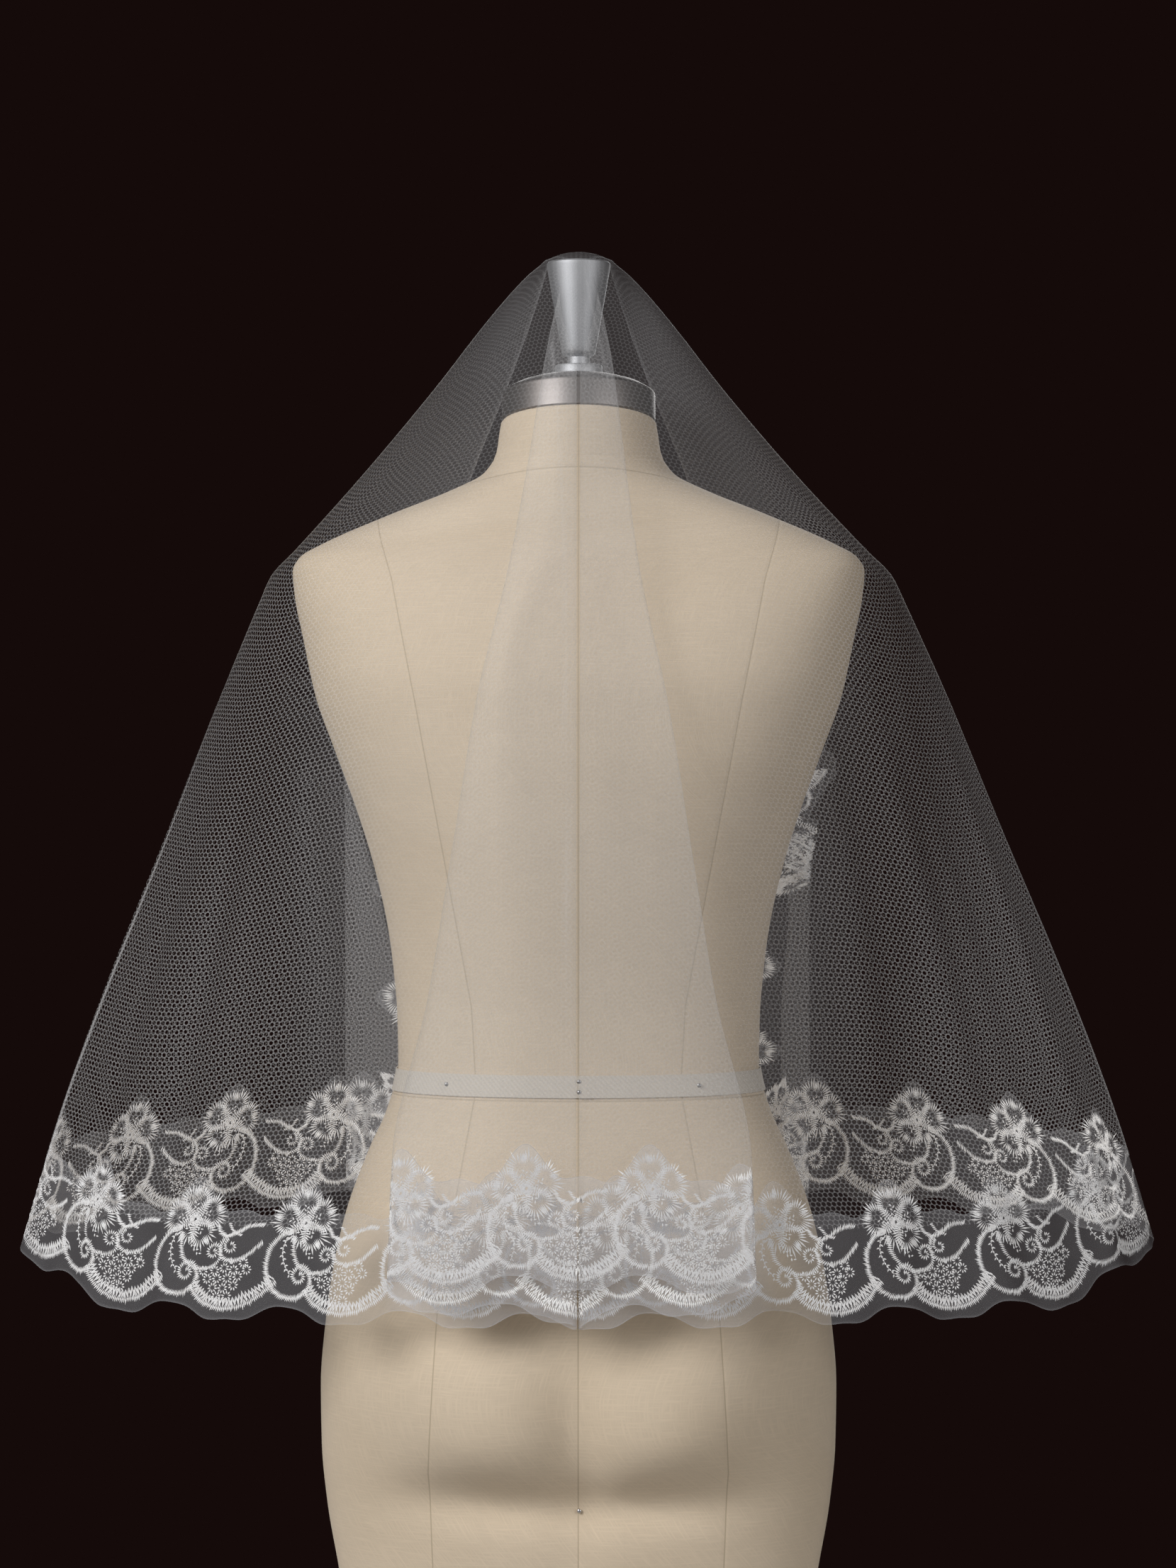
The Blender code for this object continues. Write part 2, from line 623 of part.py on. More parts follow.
def front_places(grid, drop, outer, inner, steps):
    """Places across the border beside the front edge, evenly from one length off that edge to another."""
    row = grid.read(grid.from_edge, grid.k, np.full_like(grid.k, drop))
    return [float(np.interp(length, row[::-1], grid.k[::-1])) for length in np.linspace(outer, inner, steps)]


def lace_border(grids, colour):
    """The embroidered border, in the three stretches of the net that it is sewn to."""
    left, right = grids
    ends = [grid.hem_along(CREASE) - CREASE_GAP for grid in grids]
    columns = [lace_points(left, along, 4) for along in reversed(lace_places(left, 0.0, ends[0]))]
    columns += [lace_points(right, along, 4) for along in lace_places(right, 0.0, ends[1])[1:]]
    stretches = [("lace_back", columns)]
    for grid, name in ((left, "lace_front_left"), (right, "lace_front_right")):
        places = lace_places(grid, grid.hem_along(CREASE) + CREASE_GAP, border_length(grid))
        steps = UPRIGHT_ROWS[grid.sign > 0]
        stretches.append((name, [lace_points(grid, along, steps) for along in places][:: int(grid.sign)]))
    for name, columns in stretches:
        rows = list(zip(*columns))[::-1]
        points = [p for row in rows for p in row]
        wall(name, points, sheet_faces(len(rows), len(columns)), CLOTH, colour)


def torso_ring(height, steps):
    """One horizontal section of the form, with its swellings."""
    size = {name: float(eased(height, TORSO_ROWS, TORSO_COLUMNS, name)) for name in TORSO_COLUMNS[1:]}
    angle = np.arange(steps) * 2 * math.pi / steps
    power = 2.0 / size["square"]
    c, s = np.cos(angle), np.sin(angle)
    x = size["half_width"] * np.sign(c) * np.abs(c) ** power
    depth = np.where(s > 0, size["front"], size["back"])
    y = depth * np.sign(s) * np.abs(s) ** power
    for row in SWELLINGS:
        bump = dict(zip(SWELLING_COLUMNS, row))
        facing = np.clip(s * bump["faces"], 0.0, 1.0) ** 0.5
        near = np.exp(-(((x - bump["x"]) / bump["wide"]) ** 2) / 2)
        near = near * math.exp(-(((height - bump["height"]) / bump["high"]) ** 2) / 2)
        y = y + bump["faces"] * bump["out"] * near * facing
    return np.stack([x, y, np.full(steps, height)], axis=1)


def loft(name, rings, colour):
    """A closed body through rings of equal length, with a flat cap at each end."""
    steps = len(rings[0])
    points = [tuple(p * MM) for ring in rings for p in ring]
    faces = [tuple(reversed(range(steps)))]
    for r in range(len(rings) - 1):
        for c in range(steps):
            n = (c + 1) % steps
            faces.append((r * steps + c, r * steps + n, (r + 1) * steps + n, (r + 1) * steps + c))
    faces.append(tuple((len(rings) - 1) * steps + c for c in range(steps)))
    mesh = bpy.data.meshes.new(name)
    mesh.from_pydata(points, [], faces)
    mesh.shade_smooth()
    mesh.set_sharp_from_angle(angle=math.radians(40))
    mesh.materials.append(colour)
    made = bpy.data.objects.new(name, mesh)
    parts().objects.link(made)
    return made


def neck_ring(radius, height, steps):
    """A section of the neck that slopes with its top, lower at the front."""
    angle = np.arange(steps) * 2 * math.pi / steps
    x, y = radius * np.cos(angle), radius * 1.03 * np.sin(angle)
    return np.stack([x, y, height - y * math.tan(NECK_TILT)], axis=1)


def torso(colour):
    """The padded form from the thighs to the top of the neck."""
    steps = TORSO_STEPS
    heights = sorted([row[0] for row in TORSO_ROWS] + [TAPE_BOTTOM, TAPE_TOP])
    foot = torso_ring(heights[0], steps)
    foot[:, :2] *= 0.965
    rings = [foot, torso_ring(heights[0] + 5.0, steps)] + [torso_ring(h, steps) for h in heights[1:]]
    rings += [neck_ring(NECK_RADIUS + 1.2, 976.0, steps), neck_ring(NECK_RADIUS, NECK_TOP - 4.0, steps)]
    rings.append(neck_ring(NECK_RADIUS - 3.0, NECK_TOP, steps))
    return loft("torso", rings, colour)


def waist_tape(colour):
    """A narrow woven tape pinned round the waist."""
    steps = TORSO_STEPS
    sheet = []
    for height in (TAPE_BOTTOM, TAPE_TOP):
        ring = torso_ring(height, steps)
        outward = ring[:, :2] / np.linalg.norm(ring[:, :2], axis=1, keepdims=True)
        ring[:, :2] += outward * (TAPE_THICKNESS / 2 + 2 * GAP)
        sheet.append(ring)
    points = [p for ring in sheet for p in ring]
    faces = [(c, (c + 1) % steps, steps + (c + 1) % steps, steps + c) for c in range(steps)]
    return wall("waist_tape", points, faces, TAPE_THICKNESS, colour)


def turned(name, profile, colour, steps=24):
    """A solid turned about Z from a profile of (radius, height) that runs from the top down."""
    mesh = bpy.data.meshes.new(name)
    mesh.from_pydata(
        [(r * MM, 0.0, z * MM) for r, z in profile], [(i, i + 1) for i in range(len(profile) - 1)], []
    )
    made = bpy.data.objects.new(name, mesh)
    mesh.materials.append(colour)
    parts().objects.link(made)
    turn = made.modifiers.new("turn", "SCREW")
    turn.axis = "Z"
    turn.steps = turn.render_steps = steps
    turn.use_merge_vertices = True
    turn.merge_threshold = 0.00001
    return made


def neck_cap(colour):
    """The spun metal cap on the neck, with a low dome, that slopes with the neck's top."""
    low = NECK_TOP + GAP
    profile = (
        (0.0, low + CAP_HEIGHT + CAP_DOME),
        (14.0, low + CAP_HEIGHT + CAP_DOME - 0.8),
        (30.0, low + CAP_HEIGHT + CAP_DOME - 5.5),
        (44.0, low + CAP_HEIGHT + 3.5),
        (CAP_RADIUS - 1.5, low + CAP_HEIGHT),
        (CAP_RADIUS, low + CAP_HEIGHT - 2.0),
        (CAP_RADIUS, low),
        (0.0, low),
    )
    made = turned("neck_cap", [(r, z - low) for r, z in profile], colour)
    made.matrix_world = Matrix.Translation((0, 0, low * MM)) @ Matrix.Rotation(-NECK_TILT, 4, "X")
    return made


def hanging_post(colour):
    """The post that the form is hung or lifted by: a flange, a short stem and a cone with a flat top."""
    low = FLANGE_BOTTOM
    profile = (
        (0.0, POST_TOP),
        (20.6, POST_TOP),
        (21.3, POST_TOP - 0.7),
        (21.3, POST_TOP - 3.0),
        (11.6, low + 16.0),
        (10.0, low + 13.2),
        (7.5, low + 12.4),
        (7.5, low + 6.6),
        (15.0, low + 6.6),
        (15.9, low + 5.7),
        (15.9, low + 1.0),
        (15.0, low),
        (0.0, low),
    )
    return turned("hanging_post", profile, colour)


def stand(colour, base_colour):
    """A plain pole on a round base, which the picture's lower edge hides."""
    pole_low = BASE_THICKNESS + GAP
    pole_high = TORSO_BOTTOM - GAP
    turned(
        "stand_pole",
        ((0.0, pole_high), (POLE_RADIUS, pole_high), (POLE_RADIUS, pole_low), (0.0, pole_low)),
        colour,
    )
    profile = (
        (0.0, BASE_THICKNESS),
        (BASE_RADIUS - 4.0, BASE_THICKNESS),
        (BASE_RADIUS - 1.0, BASE_THICKNESS - 1.5),
        (BASE_RADIUS, BASE_THICKNESS - 4.0),
        (BASE_RADIUS, 1.0),
        (BASE_RADIUS - 1.0, 0.0),
        (0.0, 0.0),
    )
    turned("stand_base", profile, base_colour, steps=48)


def main():
    for thing in list(bpy.data.objects):
        bpy.data.objects.remove(thing)
    net = material("white_net", (0.85, 0.86, 0.9), 0.6)
    lace = material("white_lace", (0.92, 0.92, 0.94), 0.4)
    linen = material("cream_linen", (0.62, 0.54, 0.43), 0.85)
    tape = material("white_tape", (0.75, 0.72, 0.68), 0.8)
    steel = material("brushed_steel", (0.6, 0.6, 0.62), 0.3, 1.0)
    iron = material("painted_iron", (0.5, 0.5, 0.5), 0.5, 0.0)
    grids = [VeilGrid(side) for side in SIDES]
    net_back(grids, net)
    net_front(grids[0], "net_front_left", net)
    net_front(grids[1], "net_front_right", net)
    lace_border(grids, lace)
    torso(linen)
    waist_tape(tape)
    neck_cap(steel)
    hanging_post(steel)
    stand(steel, iron)


main()
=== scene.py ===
# A hip-length bridal veil of soft net with an embroidered lace border, laid over the hanging post of a
# limbless linen dress form. +Z is up, the form's back faces -Y, and the origin is under the stand.

import math

import bpy
import numpy as np
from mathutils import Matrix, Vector


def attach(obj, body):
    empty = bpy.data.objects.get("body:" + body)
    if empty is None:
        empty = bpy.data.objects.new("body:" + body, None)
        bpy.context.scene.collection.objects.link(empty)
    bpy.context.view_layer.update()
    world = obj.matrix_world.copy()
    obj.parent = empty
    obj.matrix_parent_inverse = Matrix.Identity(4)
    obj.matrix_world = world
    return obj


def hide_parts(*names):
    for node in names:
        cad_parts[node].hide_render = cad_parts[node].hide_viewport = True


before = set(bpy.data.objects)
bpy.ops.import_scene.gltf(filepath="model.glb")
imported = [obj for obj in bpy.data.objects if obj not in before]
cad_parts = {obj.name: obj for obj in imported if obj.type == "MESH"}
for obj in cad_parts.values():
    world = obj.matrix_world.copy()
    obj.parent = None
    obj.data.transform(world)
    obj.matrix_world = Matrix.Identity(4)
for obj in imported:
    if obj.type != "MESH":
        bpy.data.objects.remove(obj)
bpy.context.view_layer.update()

# The studio: a dark backdrop, a pale round floor that ends before the camera's view, and large soft boxes.
# The left box is the stronger, so the form's left is bright and its right falls off.

MM = 0.001


def linear(code):
    """An sRGB hex colour as linear red, green, blue and a full alpha."""
    values = [int(code[i : i + 2], 16) / 255 for i in (1, 3, 5)]
    return [*(v / 12.92 if v <= 0.04045 else ((v + 0.055) / 1.055) ** 2.4 for v in values), 1.0]


def connect(tree, node, inputs):
    """A value for each input that is named, or a link where the value is another node's output."""
    for name, value in dict(inputs).items():
        if isinstance(value, bpy.types.NodeSocket):
            tree.links.new(value, node.inputs[name])
        else:
            node.inputs[name].default_value = value


def add_node(tree, kind, settings=(), inputs=()):
    """One shader node with its settings and its inputs. Its outputs are handed back."""
    made = tree.nodes.new("ShaderNode" + kind)
    for name, value in dict(settings).items():
        setattr(made, name, value)
    connect(tree, made, inputs)
    return made.outputs


def finish(name, colour, roughness, **sockets):
    """A new material: its node tree and its shader come with it."""
    made = bpy.data.materials.new(name)
    made.use_nodes = True
    shader = made.node_tree.nodes["Principled BSDF"]
    connect(made.node_tree, shader, {"Base Color": linear(colour), "Roughness": roughness})
    connect(made.node_tree, shader, {name.replace("_", " "): value for name, value in sockets.items()})
    return made, made.node_tree, shader


def tone_and_relief(tree, shader, tone, dark, pale, relief, strength, depth):
    """Two shades that follow one pattern, and a relief, so many metres deep, that follows another."""
    shade = add_node(tree, "Mix", {"data_type": "RGBA"}, {0: tone, 6: linear(dark), 7: linear(pale)})
    bump = add_node(tree, "Bump", inputs={"Height": relief, "Strength": strength, "Distance": depth})
    connect(tree, shader, {"Base Color": shade[2], "Normal": bump["Normal"]})


def dress(piece, material, slot, *nodes):
    """A piece's material, its body, its colour slot, which is not used, and the solids that it stands for.
    """
    piece.data.materials.append(material)
    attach(piece, "root")
    if nodes:
        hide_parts(*nodes)


def soft_box(name, place, aim, size, watts, colour="#FFFFFF"):
    light = bpy.data.lights.new(name, "AREA")
    light.shape, light.size, light.energy = "SQUARE", size, watts
    light.color = linear(colour)[:3]
    box = bpy.data.objects.new(name, light)
    box.location = place
    box.rotation_mode = "QUATERNION"
    box.rotation_quaternion = (Vector(aim) - Vector(place)).to_track_quat("-Z", "Y")
    bpy.context.scene.collection.objects.link(box)
    return box


bpy.context.scene.view_settings.view_transform = "Standard"
bpy.context.scene.cycles.transparent_max_bounces = 48

camera = bpy.data.objects.new("camera", bpy.data.cameras.new("camera"))
camera.data.lens = 85.5
camera.data.sensor_width = 36.0
camera.location = (0.0063, -2.5, 0.7455)
camera.rotation_euler = (math.pi / 2, 0.0, 0.0)
bpy.context.scene.collection.objects.link(camera)
bpy.context.scene.camera = camera

world = bpy.data.worlds.new("dark backdrop")
world.use_nodes = True
world.node_tree.nodes["Background"].inputs["Color"].default_value = linear("#150B0A")
bpy.context.scene.world = world

soft_box("left box", (-1.9, -2.1, 1.95), (0.0, 0.0, 0.7), 1.3, 80.0)
soft_box("right box", (2.1, -2.2, 1.3), (0.0, 0.0, 0.7), 1.4, 29.0)
soft_box("top box", (0.0, -0.6, 2.6), (0.0, 0.0, 0.6), 1.4, 1.0)
soft_box("front box", (0.3, 2.6, 1.4), (0.0, 0.0, 0.7), 1.5, 34.0)

bpy.ops.object.select_all(action="DESELECT")
bpy.ops.mesh.primitive_circle_add(vertices=128, radius=0.6, fill_type="NGON")
floor = bpy.context.object
floor.name, floor.location.z = "floor", -0.4 * MM
vinyl, tree, shader = finish("pale_matt_vinyl", "#D9D6D0", 0.7)
grain = add_node(tree, "TexNoise", inputs={"Scale": 60.0, "Detail": 4.0})
shade = add_node(
    tree, "Mix", {"data_type": "RGBA"}, {0: grain["Fac"], 6: linear("#D2CFC9"), 7: linear("#DEDBD6")}
)
connect(tree, shader, {"Base Color": shade[2]})
floor.data.materials.append(vinyl)

# The stand: a round cast-iron base, painted, and a brushed steel pole up to the form's flat underside.
# The photograph's lower edge hides both, so they are finished plainly.


def lathe(name, profile, steps=96):
    """A solid turned about Z from a profile of (radius, height) in millimetres, from the bottom up."""
    bpy.ops.object.select_all(action="DESELECT")
    radius, height = profile[0]
    bpy.ops.mesh.primitive_circle_add(
        vertices=steps, radius=radius * MM, fill_type="NGON", location=(0.0, 0.0, height * MM)
    )
    turned = bpy.context.object
    bpy.ops.object.mode_set(mode="EDIT")
    for (r, z), (next_r, next_z) in zip(profile, profile[1:]):
        bpy.ops.mesh.extrude_region_move(TRANSFORM_OT_translate={"value": (0.0, 0.0, (next_z - z) * MM)})
        bpy.ops.transform.resize(value=(next_r / r, next_r / r, 1.0))
    bpy.ops.mesh.select_all(action="SELECT")
    bpy.ops.mesh.normals_make_consistent(inside=False)
    bpy.ops.object.mode_set(mode="OBJECT")
    bpy.ops.object.transform_apply(location=True, rotation=True, scale=True)
    bpy.ops.object.shade_smooth_by_angle(angle=math.radians(35))
    turned.name = name
    return turned


BASE_PROFILE = (
    (179.0, 0.0), (180.0, 1.0), (180.0, 8.0), (179.4, 9.6), (177.6, 11.2), (175.4, 12.0),
    (60.0, 12.0), (42.0, 12.1), (30.0, 12.0),
)  # fmt: skip
base = lathe("iron_base", BASE_PROFILE, 128)

# Satin enamel over cast iron: a faint orange peel, and clouds of slightly paler and darker paint.
enamel, tree, shader = finish("satin_enamel_on_cast_iron", "#BDBCBA", 0.42)
place = add_node(tree, "TexCoord")
peel = add_node(tree, "TexNoise", inputs={"Vector": place["Object"], "Scale": 450.0, "Detail": 3.0})
clouds = add_node(tree, "TexNoise", inputs={"Vector": place["Object"], "Scale": 14.0, "Detail": 5.0})
tone_and_relief(tree, shader, clouds["Fac"], "#B2B1AF", "#C6C5C3", peel["Fac"], 0.12, 0.4 * MM)
dress(base, enamel, "painted_iron", "stand_base")

POLE_PROFILE = (
    (22.0, 12.3), (22.6, 13.2), (22.6, 19.0), (21.6, 20.6), (15.0, 22.4), (15.0, 143.9), (14.4, 144.7),
)  # fmt: skip
pole = lathe("steel_pole", POLE_PROFILE, 64)

# Brushed stainless steel, turned: the brush leaves rings a few tenths of a millimetre apart, drawn 1 mm
# apart so that they show, and they spread each highlight up and down.
steel, tree, shader = finish("brushed_steel", "#B9B8BA", 0.3, Metallic=1.0)
place = add_node(tree, "TexCoord")
rings = add_node(tree, "Mapping", inputs={"Vector": place["Object"], "Scale": (6.0, 6.0, 900.0)})
lines = add_node(tree, "TexNoise", inputs={"Vector": rings["Vector"], "Scale": 1.0, "Detail": 3.0})
spread = add_node(
    tree,
    "MapRange",
    inputs={"Value": lines["Fac"], "From Min": 0.3, "From Max": 0.7, "To Min": 0.24, "To Max": 0.4},
)
connect(tree, shader, {"Roughness": spread["Result"]})
tone_and_relief(tree, shader, lines["Fac"], "#A9A8AA", "#C8C7C9", lines["Fac"], 0.25, 0.2 * MM)
dress(pole, steel, "brushed_steel", "stand_pole")

# The form: a moulded body padded and covered in cream linen, sewn from panels with a seam down the middle
# of the back and the front, a curved seam over each half, a seam at each side, the waist and the neck.

TORSO_COLUMNS = ("height", "half_width", "back", "front", "square")
TORSO_ROWS = (
    (145.0, 149.0, 71.0, 80.0, 2.3),
    (185.0, 155.0, 76.0, 84.0, 2.3),
    (220.0, 160.5, 81.0, 88.0, 2.3),
    (266.0, 168.4, 91.0, 94.0, 2.3),
    (305.0, 172.0, 104.0, 99.0, 2.3),
    (345.0, 172.6, 111.0, 103.0, 2.3),
    (390.0, 169.0, 109.0, 105.0, 2.3),
    (424.0, 164.0, 104.0, 104.0, 2.2),
    (459.0, 156.0, 96.0, 101.0, 2.2),
    (500.0, 141.0, 86.0, 95.0, 2.1),
    (528.0, 128.5, 78.0, 90.0, 2.1),
    (558.0, 121.0, 74.0, 86.0, 2.1),
    (590.0, 121.6, 76.0, 88.0, 2.1),
    (620.0, 124.0, 81.0, 92.0, 2.1),
    (650.0, 128.0, 87.0, 97.0, 2.1),
    (690.0, 137.0, 95.0, 105.0, 2.15),
    (726.0, 148.0, 102.0, 111.0, 2.2),
    (769.0, 163.7, 106.0, 109.0, 2.3),
    (803.0, 175.8, 106.0, 98.0, 2.4),
    (844.0, 184.7, 98.0, 80.0, 2.5),
    (870.0, 190.0, 88.0, 69.0, 2.5),
    (888.0, 191.6, 77.0, 61.0, 2.5),
    (897.0, 187.0, 71.0, 58.0, 2.5),
    (906.0, 172.0, 66.5, 56.5, 2.4),
    (926.0, 126.0, 61.0, 55.0, 2.3),
    (942.0, 86.0, 58.0, 54.0, 2.1),
    (953.0, 64.5, 57.0, 54.0, 2.0),
    (963.0, 56.5, 56.0, 54.0, 2.0),
)
# The bust, the seat and the creases under it, the same on both sides. A face of -1 is the back.
SWELLING_COLUMNS = ("x", "height", "out", "wide", "high", "faces")
HALF_SWELLINGS = (
    (82.0, 748.0, 25.0, 44.0, 42.0, 1.0),
    (72.0, 352.0, 20.0, 44.0, 36.0, -1.0),
    (0.0, 300.0, -7.0, 12.0, 40.0, -1.0),
    (0.0, 338.0, -6.0, 19.0, 40.0, -1.0),
    (58.0, 316.0, 6.0, 36.0, 15.0, -1.0),
    (36.0, 277.0, -11.0, 28.0, 12.0, -1.0),
    (84.0, 283.0, -8.0, 28.0, 13.0, -1.0),
)
SWELLINGS = [(way * x, *rest) for x, *rest in HALF_SWELLINGS for way in ((1, -1) if x else (1,))]
NECK_TOP, NECK_TILT, NECK_RADIUS = 988.0, math.radians(8.0), 52.5
TAPE_BOTTOM, TAPE_TOP = 541.0, 555.5
# How far from the middle each curved seam runs, by height. It bends out over the shoulder blade.
PRINCESS_SEAM = (
    (145.0, 92.0), (300.0, 97.0), (420.0, 90.0), (545.0, 67.0), (600.0, 70.0), (700.0, 88.0),
    (800.0, 106.0), (880.0, 122.0), (906.0, 130.0), (990.0, 150.0),
)  # fmt: skip


def eased(at, rows, columns, name):
    """A column of a table, read at any place of its first column on a smooth curve with no overshoot."""
    x = np.array([row[0] for row in rows])
    y = np.array([row[columns.index(name)] for row in rows])
    step = np.diff(y) / np.diff(x)
    slope = np.zeros_like(y)
    slope[0], slope[-1] = step[0], step[-1]
    same = step[:-1] * step[1:] > 0
    slope[1:-1][same] = 2 * step[:-1][same] * step[1:][same] / (step[:-1] + step[1:])[same]
    at = np.clip(np.asarray(at, float), x[0], x[-1])
    i = np.clip(np.searchsorted(x, at, side="right") - 1, 0, len(x) - 2)
    width = x[i + 1] - x[i]
    u = (at - x[i]) / width
    return (
        (2 * u**3 - 3 * u**2 + 1) * y[i]
        + (u**3 - 2 * u**2 + u) * width * slope[i]
        + (3 * u**2 - 2 * u**3) * y[i + 1]
        + (u**3 - u**2) * width * slope[i + 1]
    )


def form_section(angle, height):
    """Points on the form's surface, in millimetres, for equal arrays of angles and heights."""
    size = {name: eased(height, TORSO_ROWS, TORSO_COLUMNS, name) for name in TORSO_COLUMNS[1:]}
    power = 2.0 / size["square"]
    c, s = np.cos(angle), np.sin(angle)
    x = size["half_width"] * np.sign(c) * np.abs(c) ** power
    y = np.where(s > 0, size["front"], size["back"]) * np.sign(s) * np.abs(s) ** power
    for row in SWELLINGS:
        swell = dict(zip(SWELLING_COLUMNS, row))
        facing = np.clip(s * swell["faces"], 0.0, 1.0) ** 0.5
        near = np.exp(-(((x - swell["x"]) / swell["wide"]) ** 2) / 2)
        near = near * np.exp(-(((height - swell["height"]) / swell["high"]) ** 2) / 2)
        y = y + swell["faces"] * swell["out"] * near * facing
    return np.stack([x, y, height], axis=-1)


def neck_section(angle, radius, height):
    """The same on the neck, whose sections slope with its top."""
    x, y = radius * np.cos(angle), radius * 1.03 * np.sin(angle)
    return np.stack([x, y, height - y * math.tan(NECK_TILT)], axis=-1)


def laid_grid(name, points, flat):
    """A sheet made from Blender's grid: each crossing goes to its point (rows, columns, 3) in millimetres,
    and its own UV map, named cut, gives its place on the flat cloth (rows, columns, 2) in metres."""
    rows, columns = points.shape[:2]
    bpy.ops.object.select_all(action="DESELECT")
    bpy.ops.mesh.primitive_grid_add(x_subdivisions=columns - 1, y_subdivisions=rows - 1, size=2.0)
    sheet = bpy.context.object
    mesh = sheet.data
    where = np.empty(len(mesh.vertices) * 3)
    mesh.vertices.foreach_get("co", where)
    where = where.reshape(-1, 3)
    column = np.rint((where[:, 0] + 1) / 2 * (columns - 1)).astype(int)
    row = np.rint((where[:, 1] + 1) / 2 * (rows - 1)).astype(int)
    mesh.vertices.foreach_set("co", (points[row, column] * MM).ravel())
    corner = np.empty(len(mesh.loops), int)
    mesh.loops.foreach_get("vertex_index", corner)
    mesh.uv_layers[0].name = "cut"
    mesh.uv_layers["cut"].data.foreach_set("uv", flat[row, column][corner].ravel())
    mesh.update()
    sheet.name = name
    return sheet, row, column


def write_values(piece, name, values):
    """A number for each vertex of a piece, which its material reads by name."""
    attribute = piece.data.attributes.new(name, "FLOAT", "POINT")
    attribute.data.foreach_set("value", np.asarray(values, np.float32).ravel())


steps = 160
heights = [145.0, 147.5, 150.0]
heights += list(np.arange(155.0, 880.0, 5.0)) + list(np.arange(880.0, 964.0, 2.0))
around = np.linspace(0.0, 2 * math.pi, steps + 1)
rings = [form_section(around, np.full_like(around, h)) for h in heights]
rings[0][:, :2] *= 0.965
rings[1][:, :2] *= 0.99
for radius, height in (
    (55.2, 967.0), (54.4, 971.0), (53.8, 976.0), (53.2, 980.0), (NECK_RADIUS, 984.0),
    (52.2, 986.2), (51.3, 987.4), (49.5, NECK_TOP),
):  # fmt: skip
    rings.append(neck_section(around, radius, height))
rings = np.array(rings)
run = np.pad(np.linalg.norm(np.diff(rings, axis=1), axis=2).cumsum(1), ((0, 0), (1, 0)))
rise = np.pad(np.linalg.norm(np.diff(rings, axis=0), axis=2).mean(1).cumsum(), (1, 0))
flat = np.stack([run * MM, np.broadcast_to(rise[:, None], run.shape) * MM], axis=-1)
form, row, column = laid_grid("linen_form", rings, flat)
bpy.ops.object.mode_set(mode="EDIT")
bpy.ops.mesh.select_all(action="SELECT")
bpy.ops.mesh.remove_doubles(threshold=0.00002)
bpy.ops.mesh.select_all(action="DESELECT")
bpy.ops.mesh.select_mode(type="EDGE")
bpy.ops.mesh.select_non_manifold()
bpy.ops.mesh.fill_holes(sides=0)
bpy.ops.mesh.select_all(action="SELECT")
bpy.ops.mesh.normals_make_consistent(inside=False)
bpy.ops.object.mode_set(mode="OBJECT")
bpy.ops.object.shade_smooth_by_angle(angle=math.radians(40))
where = np.empty(len(form.data.vertices) * 3)
form.data.vertices.foreach_get("co", where)
x, y, z = where.reshape(-1, 3).T / MM
SEAMS = {
    "middle_seam": x,
    "curved_seam": np.abs(x) - np.interp(z, *np.array(PRINCESS_SEAM).T),
    "side_seam": np.where(np.abs(x) > 30.0, y + 4.0, 99.0),
    "waist_seam": z - (TAPE_BOTTOM - 2.2),
    "neck_seam": z - (948.0 - 0.10 * y - 0.0009 * x * x),
}
for name, off_seam in SEAMS.items():
    write_values(form, name, off_seam)


def fading(tree, value, start, end, low, high):
    """A value that eases from low to high while another goes from start to end."""
    limits = {"Value": value, "From Min": start, "From Max": end, "To Min": low, "To Max": high}
    return add_node(tree, "MapRange", {"interpolation_type": "SMOOTHSTEP"}, limits)["Result"]


# Unbleached linen in plain weave, stretched over the padding: 0.5 mm threads, drawn 1.3 mm apart so that
# they show, with thicker slubs along both ways of the weave, and a sunken line along each seam.
linen, tree, shader = finish(
    "cream_linen_plain_weave", "#D8C6AE", 0.88, Sheen_Weight=0.12, Sheen_Roughness=0.6
)
cut = add_node(tree, "UVMap", {"uv_map": "cut"})
threads = []
for stretch in ((770.0, 55.0, 1.0), (55.0, 770.0, 1.0)):
    yarn = add_node(tree, "Mapping", inputs={"Vector": cut["UV"], "Scale": stretch})
    slubs = add_node(tree, "TexNoise", inputs={"Vector": yarn["Vector"], "Scale": 1.0, "Detail": 2.0})
    threads.append(slubs["Fac"])
weave = add_node(tree, "Math", {"operation": "MAXIMUM"}, dict(enumerate(threads)))
clouds = add_node(tree, "TexNoise", inputs={"Vector": cut["UV"], "Scale": 9.0, "Detail": 5.0})
cloudy = add_node(
    tree, "Mix", {"data_type": "RGBA"}, {0: clouds["Fac"], 6: linear("#D2BFA5"), 7: linear("#DDCCB5")}
)
shares = add_node(
    tree,
    "MapRange",
    inputs={"Value": weave[0], "From Min": 0.42, "From Max": 0.72, "To Min": 0.95, "To Max": 1.04},
)
woven = add_node(tree, "VectorMath", {"operation": "SCALE"}, {0: cloudy[2], "Scale": shares["Result"]})
nearest = 99.0
for name in SEAMS:
    seam = add_node(tree, "Attribute", {"attribute_name": name})
    off = add_node(tree, "Math", {"operation": "ABSOLUTE"}, {0: seam["Fac"]})
    nearest = add_node(tree, "Math", {"operation": "MINIMUM"}, {0: nearest, 1: off[0]})[0]
line = fading(tree, nearest, 0.05, 0.7, 1.0, 0.0)
sunk = fading(tree, nearest, 0.0, 2.5, 1.0, 0.0)
sewn = add_node(tree, "Mix", {"data_type": "RGBA"}, {0: line, 6: woven[0], 7: linear("#B9A88F")})
height = add_node(tree, "Math", {"operation": "MULTIPLY_ADD"}, {0: sunk, 1: -0.9, 2: weave[0]})
bump = add_node(tree, "Bump", inputs={"Height": height[0], "Strength": 0.25, "Distance": 0.5 * MM})
